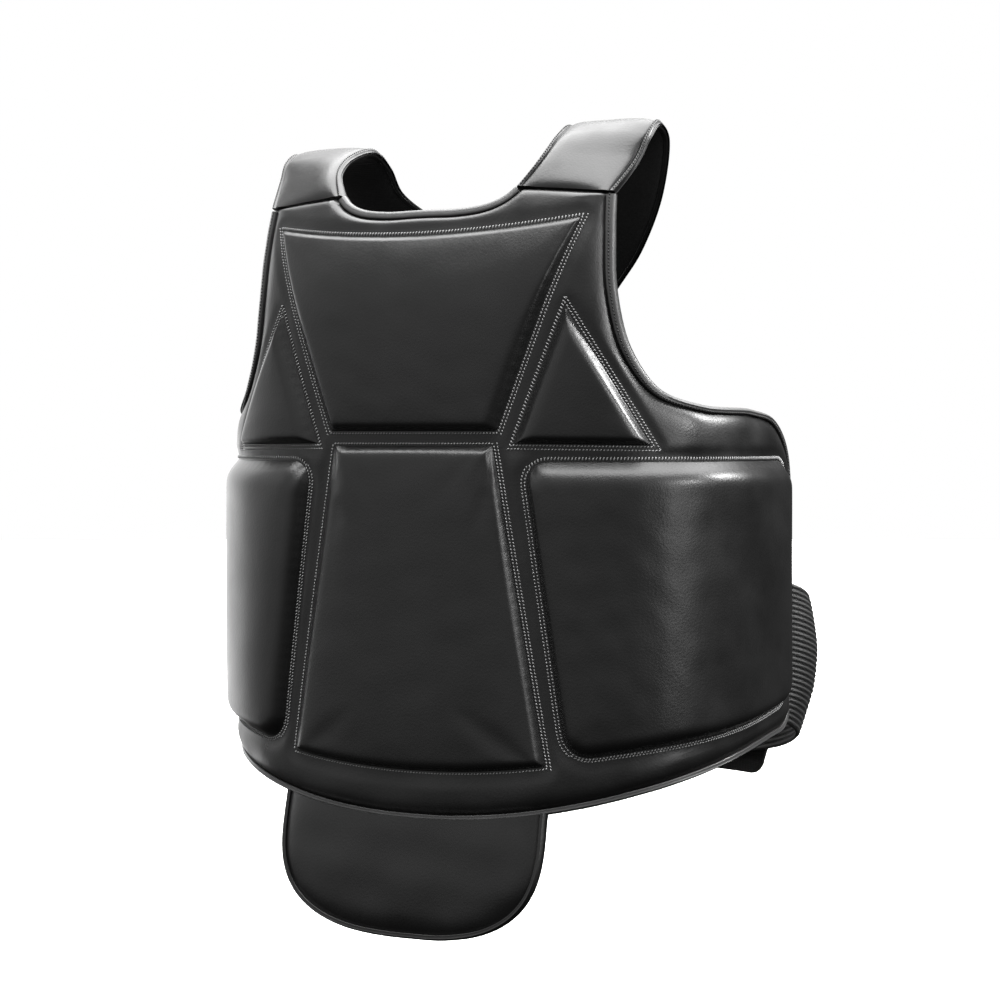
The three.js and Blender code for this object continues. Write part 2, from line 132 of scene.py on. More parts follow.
# The wall between a strap's faces: how far its lips stand out, the groove between them, its half height.
STRAP_WALL = {"lip": 0.7, "groove": 0.3, "half": 0.6}
STRAP_EDGE_COLUMNS = 6  # of the edge strip, from its rim to the groove beside it
STRAP_FACE = {"from": 4, "reach": 10}  # way in from the edge over which the padded face softens
STRAP_RISE = {"left": 4.5, "right": -3, "reach": 0.55}
STRAP_CROSSING = {"lift": 16, "z": -126, "reach": 150}
# Half of a strap's section: way in from its edge, and how far the outer and inner faces stand proud there.
STRAP_EDGE = [
    (0.0, -1.7, 1.7), (0.3, -0.65, 0.7), (0.7, -0.1, 0.2), (1.3, 0.1, 0.0), (1.9, 0.05, 0.0),
    (2.4, -0.2, 0.1), (2.7, -0.8, 0.4), (3.1, -1.15, 0.6), (3.7, -0.55, 0.3), (5.0, 0.15, 0.0),
    (7.5, 0.8, -0.2), (12.0, 1.25, -0.3), (20.0, 1.5, -0.4), (26.0, 1.6, -0.4),
]

BAND = {
    "side_top_z": -290, "width": 96, "droop": 34, "droop_reach": 140, "thickness": 2.0, "slack": 18,
    "slack_reach": 90, "slack_skew": 0.7, "slack_rows": (0.1, 0.66), "tuck": 3, "columns": 190,
    "rows_per_rib": 5, "rib_sunk": 0.35, "rib_roundness": 1.6,
}
TAB = {
    "from_arc": 385, "slant": 45, "to_arc": 560, "top_z": -328, "bottom_z": -435, "corner": 10,
    "thickness": 3, "gap": 0.7, "columns": 72, "rows": 56,
}
# The tab's turned edge: way in to its row of stitches, the row's depth and width, and the edge's own drop.
TAB_HEM = {"in": 5, "depth": 0.5, "width": 1.6, "edge_drop": 0.9, "edge_width": 0.8}
FLAP = {
    "centre_x": -5, "half_width": 96, "hang_z": -428, "bottom_z": -513.5, "side_z": -446, "roundness": 2.7,
    "forward": 6, "hang_curve": 1.7, "flatten": 0.25, "thickness": 7, "tuck": 2.6, "below_hem": 3.1,
    "columns": 121, "rows": 41, "back_share": 0.75,
}
SHELL_WALL = 9
# Outer and inner faces of the shell and of the flap at a bound edge, where the binding squeezes the padding.
SHELL_RIM = (-2.0, -7.0)
FLAP_RIM = (-1.2, -5.8)
# Reach of the folded strips. The armhole's strip narrows from its upper end down to the underarm.
BINDING_LEG = 4.5
UNDERARM = {"leg": 1.7, "from_arc": 136, "to_arc": 190}
NECK_LEG = 3.0
HEM_LEG = 1.6
FLAP_LEG = 1.4
# Section of a strip: way in from the edge and lift off the face, for the full reach, then the fold.
BINDING_SECTION = [(4.4, -0.6), (4.55, 0.5), (4.2, 1.15), (3.1, 1.45), (1.7, 1.5), (0.5, 1.3)]
BINDING_FOLD = {"from": 0.5, "depth": 3.1, "proud": 1.3, "angles": (66, 40, 14, -14, -40, -66)}
BINDING_STEP = 2.4
# How a strip wanders: depth and pitch of the pull of its stitches, and the shares of it in and up. Its ends
# near the shell's sides sink over a short reach to a small lift.
BINDING_PULL = {"depth": 0.12, "pitch": 5.2, "in": 0.3, "up": 0.5}
BINDING_END = {"side": 20, "reach": 3, "lift": 0.3}
GROOVE = 1.3  # how far the padding is drawn down beside a binding, below the face under it
GROOVE_WIDTH = 0.4
CHANNEL_FLOOR = 3.4  # flat floor of the sewn channel, out from a pad
UNEVEN_REACH = 10  # way out from a pad over which the shell grows uneven


def linear(hex_colour):
    """Linear RGB of an sRGB hex colour."""
    channels = [int(hex_colour[i : i + 2], 16) / 255 for i in (1, 3, 5)]
    return tuple(c / 12.92 if c <= 0.04045 else ((c + 0.055) / 1.055) ** 2.4 for c in channels)


def length_property(name, description, millimetres):
    default = millimetres * MM
    return bpy.props.FloatProperty(name=name, description=description, default=default, unit="LENGTH")


class ProtectorSizes(bpy.types.PropertyGroup):
    """Sizes of the padding, stitching and elastic."""

    shell_puff: length_property("Shell puff", "How far the shell swells between its seams", 1.8)
    edge_roll: length_property("Edge roll", "Width of the roll where the shell comes down to its edge", 6.5)
    channel_depth: length_property("Channel depth", "Depth of the sewn channel round each pad", 1.3)
    channel_width: length_property("Channel width", "Width over which the shell rises from a channel", 7)
    pad_swell: length_property("Pad swell", "Most that a pad's leather may swell under its filling", 1.4)
    pucker: length_property("Pucker", "Depth of the small tucks that a sewn edge draws in", 0.1)
    stitch_pitch: length_property("Stitch pitch", "From one stitch to the next", 2.2)
    stitch_length: length_property("Stitch length", "Length of one stitch", 1.6)
    thread: length_property("Thread", "Diameter of the sewing thread", 0.9)
    stitch_slant: bpy.props.FloatProperty(
        name="Stitch slant", description="Turn of each stitch from the line of its row",
        default=math.radians(24), subtype="ANGLE",
    )
    rib_spacing: length_property("Rib spacing", "From one rib of the elastic to the next", 3.6)
    rib_height: length_property("Rib height", "How far the elastic's ribs stand up", 1.1)


def colour_property(name, description, hex_colour):
    return bpy.props.FloatVectorProperty(
        name=name, description=description, default=linear(hex_colour), subtype="COLOR", size=3, min=0, max=1,
    )


class ProtectorColours(bpy.types.PropertyGroup):
    """Colours of the protector and of the studio."""

    leather: colour_property("Leather", "Coated leather of the shell, pads and straps", "#0e0e0e")
    leather_worn: colour_property("Leather, rubbed", "Coated leather where it is rubbed", "#1a1a1a")
    # The strips' lighter grey is partly the leather's own; on the hem strip it also stands in for the light
    # line along the fold, a painted highlight.
    binding: colour_property("Binding", "Leather strip on the edges", "#3c3c3c")
    # Pale grey of the pad thread: a painted highlight, standing in for the glints on a dark glossy thread.
    thread: colour_property("Thread", "Sewing thread round the pads", "#a6a6a6")
    edge_thread: colour_property("Edge thread", "Sewing thread on the bindings and straps", "#0c0c0c")
    lining: colour_property("Lining", "Woven cloth inside the shell", "#1e1e1e")
    elastic: colour_property("Elastic", "Woven elastic of the back band", "#080808")
    tab: colour_property("Tab", "Looped cloth of the closure tab", "#0e0e0e")
    floor: colour_property("Floor", "Studio floor", "#f4f4f2")


# Torso and outlines


def torso_section():
    angle = np.linspace(0, math.pi, 6001)
    power = 2 / TORSO["squareness"]
    forward = np.cos(angle)
    depth = np.where(forward > 0, TORSO["front_depth"], TORSO["back_depth"])
    x = TORSO["half_width"] * np.abs(np.sin(angle)) ** power
    y = TORSO["centre_y"] - depth * np.sign(forward) * np.abs(forward) ** power
    return evenly_along(np.stack([x, y], 1), 3001)


def run_length(points):
    """Way along a line of points to each of them."""
    return np.concatenate([[0], np.cumsum(np.linalg.norm(np.diff(points, axis=0), axis=1))])


def evenly_along(points, count):
    """Points at equal steps along a line of points."""
    length = run_length(points)
    at = np.linspace(0, length[-1], count)
    return np.stack([np.interp(at, length, column) for column in points.T], 1)


def unit(vectors):
    return vectors / np.linalg.norm(vectors, axis=-1, keepdims=True)


def mix(a, b, share):
    return a + (b - a) * share


SECTION = torso_section()
SECTION_ARC = run_length(SECTION)
SECTION_TANGENT = unit(np.gradient(SECTION, axis=0))
HALF_GIRTH = SECTION_ARC[-1]


def on_torso(arc, z, lift):
    """Points that stand off the shell's outer face, at places on the unrolled torso."""
    arc, z, lift = np.broadcast_arrays(*(np.asarray(a, float) for a in (arc, z, lift)))
    wrapped = np.where(arc > HALF_GIRTH, arc - 2 * HALF_GIRTH, arc)
    side = np.where(wrapped < 0, -1.0, 1.0)
    way = np.abs(wrapped)
    x, y = (np.interp(way, SECTION_ARC, SECTION[:, k]) for k in (0, 1))
    along_x, along_y = (np.interp(way, SECTION_ARC, SECTION_TANGENT[:, k]) for k in (0, 1))
    above = np.maximum(0, z - LEAN["start_z"])
    rate = LEAN["rate"] * (1 - LEAN["ease"] * np.minimum(1, way / LEAN["ease_arc"]) ** 2)
    normal = unit(np.stack([side * along_y, -along_x, 2 * rate * above * along_x], -1))
    point = np.stack([side * x, y + rate * above**2, z], -1)
    return point + normal * lift[..., None]


def hem_z(arc):
    share = np.minimum(1, np.abs(arc) / SIDE_ARC)
    corner = np.maximum(0, 1 - SIDE_ARC * (1 - share) / HEM["corner_reach"])
    rise = HEM["side_rise"] * np.sin(math.pi / 2 * share) ** HEM["curve"]
    return HEM["front_z"] + rise + HEM["corner_rise"] * corner**2


def curve_through(points, shares):
    """Points on a smooth curve through a row of points, at shares of the way from point to point."""
    points = np.asarray(points, float)
    p = np.vstack([2 * points[0] - points[1], points, 2 * points[-1] - points[-2]])
    place = np.clip(shares, 0, 1) * (len(points) - 1)
    i = np.minimum(place.astype(int), len(points) - 2)
    w = (place - i)[:, None]
    p0, p1, p2, p3 = (p[i + k] for k in range(4))
    d0, d1, d2 = (np.sqrt(np.linalg.norm(b - a, axis=1))[:, None] for a, b in ((p0, p1), (p1, p2), (p2, p3)))
    t1 = ((p1 - p0) / d0 - (p2 - p0) / (d0 + d1) + (p2 - p1) / d1) * d1
    t2 = ((p2 - p1) / d1 - (p3 - p1) / (d1 + d2) + (p3 - p2) / d2) * d1
    return p1 + t1 * w + (3 * (p2 - p1) - 2 * t1 - t2) * w**2 + (2 * (p1 - p2) + t1 + t2) * w**3


def upper_edge():
    """Stations along the shell's upper edge on the left half: arc, height, and arc of the column's foot."""
    rows, foot_from = [], 0
    for edge, columns, foot in SHELL_STRETCHES:
        points = evenly_along(curve_through(edge, np.linspace(0, 1, 600)), columns + 1)
        feet = np.linspace(foot_from, foot, columns + 1)
        stretch = np.column_stack([points, feet])
        rows.append(stretch if not rows else stretch[1:])
        foot_from = foot
    return np.vstack(rows)


def both_sides(stations):
    """Stations of the left half, joined to their mirror image on the right."""
    return np.vstack([stations[:0:-1] * (-1, 1, -1), stations])


LEFT_STATIONS = upper_edge()
STATIONS = both_sides(LEFT_STATIONS)
NECK_END = SHELL_STRETCHES[0][1]
SEAM_END = NECK_END + SHELL_STRETCHES[1][1]


def waves(u, v, length, seed, count=7):
    """Uneven swell over a surface, of about unit height, from a few waves of nearly one length."""
    draw = np.random.default_rng(seed)
    total = np.zeros(np.broadcast(u, v).shape)
    for angle, phase, stretch in draw.uniform((0, 0, 0.7), (math.pi, 2 * math.pi, 1.5), (count, 3)):
        turn = 2 * math.pi / (length * stretch)
        total += np.sin((u * math.cos(angle) + v * math.sin(angle)) * turn + phase)
    return total / math.sqrt(count)


def uneven(surface, u, v, number=0):
    """Unevenness of a named surface at places on it; pieces of one kind differ by their number."""
    height, length, seed = UNEVEN[surface]
    return height * waves(u, v, length, seed + number)


def smooth_step(x):
    x = np.clip(x, 0, 1)
    return x * x * (3 - 2 * x)


def tree_of(points):
    tree = kdtree.KDTree(len(points))
    for i, point in enumerate(points):
        tree.insert(point if len(point) == 3 else (*point, 0), i)
    tree.balance()
    return tree


def nearest(tree, places):
    """Distance from each place to the nearest point of a tree, and that point's number."""
    found = [tree.find(p if len(p) == 3 else (*p, 0))[1:] for p in places]
    number, distance = np.array(found).T
    return distance, number.astype(int)


# Pads on the unrolled shell


def grown(pad, by):
    """A pad's outline moved out on all sides."""
    corners = np.array(pad["corners"], float)
    moved = []
    for before, corner, after in zip(np.roll(corners, 1, 0), corners, np.roll(corners, -1, 0)):
        way_in, way_out = unit(corner - before), unit(after - corner)
        out_in, out_out = (np.array([w[1], -w[0]]) for w in (way_in, way_out))
        moved.append(corner + by * (out_in + out_out) / (1 + out_in @ out_out))
    return {**pad, "corners": moved, "corner": pad["corner"] + (by if pad["corner"] > 5 else 0)}


def pad_place(pad, across, up):
    """Places on the unrolled shell, from shares across and up a pad with rounded corners."""
    bl, br, tr, tl = np.array(pad["corners"], float)
    across, up = np.broadcast_arrays(np.asarray(across, float), np.asarray(up, float))
    height = tl[1] - bl[1]
    width = mix(br[0] - bl[0], tr[0] - tl[0], up)
    from_side, from_end = np.minimum(across, 1 - across) * width, np.minimum(up, 1 - up) * height
    radius = max(pad["corner"], 1e-6)
    x, y = np.clip(1 - from_side / radius, 0, 1), np.clip(1 - from_end / radius, 0, 1)
    at_corner = (x > 0) & (y > 0)
    from_side = np.where(at_corner, radius * (1 - x * np.sqrt(1 - y**2 / 2)), from_side)
    from_end = np.where(at_corner, radius * (1 - y * np.sqrt(1 - x**2 / 2)), from_end)
    p = np.where(across < 0.5, from_side / width, 1 - from_side / width)[..., None]
    q = np.where(up < 0.5, from_end / height, 1 - from_end / height)[..., None]
    place = mix(mix(bl, tl, q), mix(br, tr, q), p)
    dip = mix(*pad["dips"], q) * 4 * p * (1 - p)
    place[..., 1] -= dip[..., 0]
    return place * (pad["side"], 1)


def pad_side(pad, name, step=1.0):
    """Places along one side of a pad's outline, close together."""
    turns = ((0, 0), (1, 0), (1, 1), (0, 1), (0, 0))
    start = PAD_SIDES.index(name)
    (a0, u0), (a1, u1) = turns[start : start + 2]
    share = np.linspace(0, 1, 300)
    line = pad_place(pad, mix(a0, a1, share), mix(u0, u1, share))
    return evenly_along(line, max(3, int(run_length(line)[-1] / step)))


def pad_outline(pad, step=1.0):
    return np.vstack([pad_side(pad, name, step)[:-1] for name in PAD_SIDES])


def inside(outline, places):
    """Whether each place lies inside a closed outline."""
    x, y = places.T
    result = np.zeros(len(places), bool)
    for (x0, y0), (x1, y1) in zip(outline, np.roll(outline, -1, 0)):
        crosses = (y0 > y) != (y1 > y)
        rise = y1 - y0 if y1 != y0 else 1.0
        result ^= crosses & (x < x0 + (y - y0) * (x1 - x0) / rise)
    return result


# The shell's padded surface

PAD_OUTLINES = {name: pad_outline(pad) for name, pad in PADS.items()}
PAD_TREE = tree_of(np.vstack(list(PAD_OUTLINES.values())))
HEM_ARC = np.linspace(-SIDE_ARC, SIDE_ARC, 900)
HEM_LINE = np.stack([HEM_ARC, hem_z(HEM_ARC)], 1)
SIDE_LINE = np.stack([np.full(160, SIDE_ARC), np.linspace(SIDE_TOP_Z, hem_z(SIDE_ARC), 160)], 1)
NECK_LINE = evenly_along(LEFT_STATIONS[: NECK_END + 1, :2], 150)
SEAM_LINE = evenly_along(LEFT_STATIONS[NECK_END : SEAM_END + 1, :2], 150)
ARMHOLE_LINE = evenly_along(LEFT_STATIONS[SEAM_END:, :2], 600)
BOUND_LINE = np.vstack([ARMHOLE_LINE, SIDE_LINE])
NECK_TREE, SEAM_TREE, EDGE_TREE = (
    tree_of(np.vstack([line, line * (-1, 1)])) for line in (NECK_LINE, SEAM_LINE, BOUND_LINE)
)
HEM_TREE = tree_of(HEM_LINE)


def armhole_leg(arc):
    """Reach of the armhole's strip at places round the torso."""
    share = (np.abs(arc) - UNDERARM["from_arc"]) / (UNDERARM["to_arc"] - UNDERARM["from_arc"])
    return mix(BINDING_LEG, UNDERARM["leg"], smooth_step(share))


def shell_lift(places, sizes):
    """How far the shell's outer and inner faces stand off its plain form at places on it."""
    # Each edge: its line, its strip's reach, and the width of its roll as a share of the usual one.
    edges = (
        (EDGE_TREE, armhole_leg(places[:, 0]), 1.0), (NECK_TREE, NECK_LEG, 0.25),
        (HEM_TREE, HEM_LEG, 0.6), (SEAM_TREE, 0, 0.25),
    )
    from_strip = [
        np.maximum(0, nearest(tree, places)[0] - leg - GROOVE_WIDTH) / (roll * sizes.edge_roll / MM)
        for tree, leg, roll in edges
    ]
    pressed = np.exp(-np.min(from_strip, axis=0))
    puff = sizes.shell_puff / MM
    outer = mix(puff, SHELL_RIM[0] - GROOVE, pressed)
    from_pad = nearest(PAD_TREE, places)[0]
    under_pad = np.zeros(len(places), bool)
    for outline in PAD_OUTLINES.values():
        under_pad |= inside(outline, places)
    from_pad = np.where(under_pad, 0, from_pad)
    depth, width = sizes.channel_depth / MM, sizes.channel_width / MM
    outer = outer - depth * (1 - smooth_step((from_pad - CHANNEL_FLOOR) / width))
    outer = outer + uneven("shell", *places.T) * (1 - pressed) * smooth_step(from_pad / UNEVEN_REACH)
    inner = mix(-SHELL_WALL, SHELL_RIM[1], pressed) + uneven("lining", *places.T) * (1 - pressed)
    return outer, inner


# Mesh helpers


def sheet_faces(rows, columns):
    """Quads of a closed sheet, outer points first, then inner points, each row by row."""
    count = rows * columns
    grid = np.arange(count).reshape(rows, columns)
    quads = np.stack([grid[:-1, :-1], grid[:-1, 1:], grid[1:, 1:], grid[1:, :-1]], -1).reshape(-1, 4)
    rim = np.concatenate([grid[0], grid[1:, -1], grid[-1, -2::-1], grid[-2:0:-1, 0]])
    after = np.roll(rim, -1)
    walls = np.stack([after, rim, rim + count, after + count], -1)
    return quads, quads[:, ::-1] + count, walls


def loft_faces(rings, around, caps=True):
    """Faces of a tube through rings of points."""
    grid = np.arange(rings * around).reshape(rings, around)
    beside = np.roll(grid, -1, 1)
    quads = np.stack([grid[:-1], beside[:-1], beside[1:], grid[1:]], -1).reshape(-1, 4).tolist()
    return quads + ([grid[0][::-1].tolist(), grid[-1].tolist()] if caps else [])


def add_mesh(name, points, faces, materials, picks=None, sharp=40, face_out=False):
    """A smooth mesh object from points in millimetres."""
    mesh = bpy.data.meshes.new(name)
    mesh.from_pydata((np.asarray(points).reshape(-1, 3) * MM).tolist(), [], [list(f) for f in faces])
    for material in materials:
        mesh.materials.append(material)
    if picks is not None:
        mesh.polygons.foreach_set("material_index", np.asarray(picks, np.int32))
    if face_out:
        turning = bmesh.new()
        turning.from_mesh(mesh)
        bmesh.ops.recalc_face_normals(turning, faces=turning.faces)
        turning.to_mesh(mesh)
        turning.free()
    mesh.shade_smooth()
    mesh.set_sharp_from_angle(angle=math.radians(sharp))
    mesh.update()
    piece = bpy.data.objects.new(name, mesh)
    bpy.context.scene.collection.objects.link(piece)
    return piece


def finish_piece(piece, node):
    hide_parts(node)
    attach(piece, "root")
    return piece


# One stitch: shares along it of its rings, their thickness as shares of the thread's, how far it stands up in
# the middle and dips to its ends in threads, its sides, and the way ahead and behind that sets its direction.
STITCH = {
    "shares": (-0.5, -0.36, 0.0, 0.36, 0.5), "thickness": (0.45, 0.9, 1.0, 0.9, 0.45),
    "rise": 0.42, "dip": 2.6, "sides": 6, "look": 0.8,
}


def stitches(path, normal, sizes, slant=1.0, stretch=1.0):
    """Points and faces of a row of stitches along a path that lies on a surface."""
    pitch, length, thread = (v / MM for v in (sizes.stitch_pitch, sizes.stitch_length, sizes.thread))
    length *= stretch
    way = run_length(path)
    at = np.arange(pitch / 2, way[-1], pitch)
    centre, up = (np.stack([np.interp(at, way, c) for c in a.T], 1) for a in (path, normal))
    look = STITCH["look"]
    ahead, behind = (np.stack([np.interp(at + s, way, c) for c in path.T], 1) for s in (look, -look))
    up, along = unit(up), unit(ahead - behind)
    turn = slant * sizes.stitch_slant
    along = unit(along * math.cos(turn) + np.cross(up, along) * math.sin(turn))
    across = np.cross(up, along)
    share = np.array(STITCH["shares"])
    radius = thread / 2 * np.array(STITCH["thickness"])
    height = thread * (STITCH["rise"] - STITCH["dip"] * share**2)
    angle = np.arange(STITCH["sides"]) * 2 * math.pi / STITCH["sides"]
    cos, sin = np.cos(angle).reshape(-1, 1, 1, 1), np.sin(angle).reshape(-1, 1, 1, 1)
    ring = cos * across[None, :, None] + sin * up[None, :, None]
    spine = centre[:, None] + share[:, None] * length * along[:, None] + height[:, None] * up[:, None]
    points = spine[None] + radius[:, None] * ring
    points = points.transpose(1, 2, 0, 3).reshape(len(at), -1, 3)
    faces = loft_faces(len(share), len(angle))
    return points, faces


def add_stitching(name, rows, material):
    """One mesh of many rows of stitches."""
    points, faces, count = [], [], 0
    for row_points, row_faces in rows:
        for stitch in row_points:
            points.append(stitch)
            faces += [[i + count for i in face] for face in row_faces]
            count += len(stitch)
    piece = add_mesh(name, np.vstack(points), faces, [material], sharp=180)
    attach(piece, "root")
    return piece


# Materials


def add_node(tree, kind, inputs=None, **settings):
    """A node with its settings, whose inputs are values or the outputs of other nodes."""
    node = tree.nodes.new(kind)
    for key, value in settings.items():
        setattr(node, key, value)
    for key, value in (inputs or {}).items():
        if isinstance(value, bpy.types.NodeSocket):
            tree.links.new(value, node.inputs[key])
        else:
            node.inputs[key].default_value = value
    return node


def new_material(name):
    material = bpy.data.materials.new(name)
    material.use_nodes = True
    tree = material.node_tree
    shader = tree.nodes["Principled BSDF"]
    place = add_node(tree, "ShaderNodeTexCoord").outputs["Object"]
    return material, tree, shader, place


def per_metre(millimetres):
    """A texture's scale that repeats a pattern once in so many millimetres."""
    return 1 / (millimetres * MM)


# Sizes in millimetres of the marks in the leather, the cloth and the thread. The leather's pebbles are under
# 1 mm; they are drawn at 1.3 mm so that they show in the render.
LEATHER = {"patch": 38, "pebble": 1.3, "crease": 5.5, "relief": 0.4}
CLOTH = {"fuzz": 2.2, "relief": 0.3}
FIBRE = 0.7


def coated_leather(name, colour, rubbed, roughness, clouds, grain):
    """Split leather with a rolled black finish: a fine pebble grain, soft gloss and slight rubbed patches."""
    if name in bpy.data.materials:
        return bpy.data.materials[name]
    material, tree, shader, place = new_material(name)
    patch_scale = per_metre(LEATHER["patch"])
    patches = add_node(tree, "ShaderNodeTexNoise", {"Vector": place, "Scale": patch_scale, "Detail": 3})
    shade = add_node(
        tree, "ShaderNodeMix", {"Factor": patches.outputs["Fac"], "A": (*colour, 1), "B": (*rubbed, 1)},
        data_type="RGBA",
    )
    pebbles = add_node(
        tree, "ShaderNodeTexVoronoi",
        {"Vector": place, "Scale": per_metre(LEATHER["pebble"]), "Randomness": 1.0}, feature="SMOOTH_F1",
    )
    crease_scale = per_metre(LEATHER["crease"])
    creases = add_node(tree, "ShaderNodeTexNoise", {"Vector": place, "Scale": crease_scale, "Detail": 4})
    height = add_node(
        tree, "ShaderNodeMath", {0: pebbles.outputs["Distance"], 1: creases.outputs["Fac"]}, operation="ADD",
    )
    bump = add_node(
        tree, "ShaderNodeBump",
        {"Height": height.outputs[0], "Strength": grain, "Distance": LEATHER["relief"] * MM},
    )
    gloss = add_node(
        tree, "ShaderNodeMapRange",
        {
            "Value": patches.outputs["Fac"], "From Min": 0.3, "From Max": 0.7,
            "To Min": roughness - clouds, "To Max": roughness + clouds,
        },
    )
    tree.links.new(shade.outputs[2], shader.inputs["Base Color"])
    tree.links.new(gloss.outputs[0], shader.inputs["Roughness"])
    tree.links.new(bump.outputs[0], shader.inputs["Normal"])
    shader.inputs["IOR"].default_value = 1.5
    return material


def woven_cloth(name, colour, thread_mm, roughness, gloss, sheen):
    """Close plain weave of dull yarn, with a faint fibre sheen and no gloss."""
    if name in bpy.data.materials:
        return bpy.data.materials[name]
    material, tree, shader, place = new_material(name)
    weave = [
        add_node(
            tree, "ShaderNodeTexWave", {"Vector": place, "Scale": per_metre(thread_mm) / math.pi},
            bands_direction=axis,
        ).outputs["Fac"]
        for axis in ("X", "Z")
    ]
    crossed = add_node(tree, "ShaderNodeMath", {0: weave[0], 1: weave[1]}, operation="MAXIMUM")
    fuzz_scale = per_metre(CLOTH["fuzz"])
    fuzz = add_node(tree, "ShaderNodeTexNoise", {"Vector": place, "Scale": fuzz_scale, "Detail": 4})
    lighter = tuple(min(1, c * 1.9 + 0.002) for c in colour)
    shade = add_node(
        tree, "ShaderNodeMix", {"Factor": fuzz.outputs["Fac"], "A": (*colour, 1), "B": (*lighter, 1)},
        data_type="RGBA",
    )
    bump = add_node(
        tree, "ShaderNodeBump",
        {"Height": crossed.outputs[0], "Strength": 0.5, "Distance": CLOTH["relief"] * MM},
    )
    tree.links.new(shade.outputs[2], shader.inputs["Base Color"])
    tree.links.new(bump.outputs[0], shader.inputs["Normal"])
    shader.inputs["Roughness"].default_value = roughness
    shader.inputs["Specular IOR Level"].default_value = gloss
    shader.inputs["Sheen Weight"].default_value = sheen
    return material


def sewing_thread(name, colour):
    """Twisted polyester thread: small separate stitches with a soft shine along the twist."""
    if name in bpy.data.materials:
        return bpy.data.materials[name]
    material, tree, shader, place = new_material(name)
    fibres = add_node(tree, "ShaderNodeTexNoise", {"Vector": place, "Scale": per_metre(FIBRE), "Detail": 2})
    darker = tuple(c * 0.5 for c in colour)
    shade = add_node(
        tree, "ShaderNodeMix", {"Factor": fibres.outputs["Fac"], "A": (*darker, 1), "B": (*colour, 1)},
        data_type="RGBA",
    )
    tree.links.new(shade.outputs[2], shader.inputs["Base Color"])
    shader.inputs["Roughness"].default_value = 0.5
    return material


def finishes(colours):
    """The protector's materials by the use they have."""
    black, worn, binding = colours.leather[:], colours.leather_worn[:], colours.binding[:]
    leathers = {
        "shell": ("coated_leather", black, worn, {"roughness": 0.37, "clouds": 0.1, "grain": 0.14}),
        "pads": ("coated_pad_leather", black, worn, {"roughness": 0.34, "clouds": 0.04, "grain": 0.14}),
        "binding": (
            "coated_binding_leather", binding, binding, {"roughness": 0.35, "clouds": 0.03, "grain": 0.1},
        ),
    }
    cloths = {
        "lining": ("nylon_lining", {"thread_mm": 1.1, "roughness": 0.8, "gloss": 0.15, "sheen": 0.1}),
        "elastic": ("woven_elastic", {"thread_mm": 1.2, "roughness": 0.6, "gloss": 0.5, "sheen": 0.04}),
        "tab": ("looped_tab_cloth", {"thread_mm": 1.6, "roughness": 0.95, "gloss": 0.15, "sheen": 0.08}),
    }
    made = {use: coated_leather(name, *shades, **looks) for use, (name, *shades, looks) in leathers.items()}
    for use, (name, looks) in cloths.items():
        made[use] = woven_cloth(name, getattr(colours, use)[:], **looks)
    # The pad thread is made pale grey, a painted highlight for the glints on its stitches.
    made["thread"] = sewing_thread("polyester_thread", colours.thread[:])
    made["edge_thread"] = sewing_thread("dark_polyester_thread", colours.edge_thread[:])
    return made


def settings(context):
    scene = context.scene
    return scene.protector_sizes, finishes(scene.protector_colours)


# Pieces


def shell_places():
    """Places on the unrolled shell, on columns from the hem to the upper edge."""
    arc, z, foot = STATIONS.T
    length = np.hypot(arc - foot, z - hem_z(foot))
    edge = np.array(EDGE_ROWS)[:, None] / length
    middle = np.linspace(edge[-1], 1 - edge[-1], MIDDLE_ROWS)[1:-1]
    share = np.vstack([edge, middle, 1 - edge[::-1]])
    return np.stack([mix(foot, arc, share), mix(hem_z(foot), z, share)], -1)


class PROTECTOR_OT_shell(bpy.types.Operator):
    """Make the padded leather shell"""

    bl_idname = "protector.shell"
    bl_label = "Shell"

    def execute(self, context):
        sizes, finish = settings(context)
        places = shell_places()
        rows, columns = places.shape[:2]
        flat = places.reshape(-1, 2)
        outer, inner = shell_lift(flat, sizes)
        points = np.vstack([on_torso(*flat.T, outer), on_torso(*flat.T, inner)])
        faces = sheet_faces(rows, columns)
        picks = np.repeat([0, 1, 0], [len(f) for f in faces])
        leathers = [finish["shell"], finish["lining"]]
        piece = add_mesh("shell_leather", points, np.vstack(faces), leathers, picks)
        finish_piece(piece, "front_shell")
        return {"FINISHED"}


def soft_least(a, b, soft):
    """The lesser of two heights, with the corner between them rounded."""
    near = np.maximum(soft - np.abs(a - b), 0) / soft
    return np.minimum(a, b) - near**2 * soft / 4


def edge_shares(length):
    """Shares along a pad's side, closer together over its sloping edges."""
    edge = np.array(PAD_EDGE_ROWS) / length
    inner = np.linspace(edge[-1], 1 - edge[-1], max(3, int(length / PAD_STEP)))
    return np.concatenate([edge[:-1], inner, 1 - edge[-2::-1]])


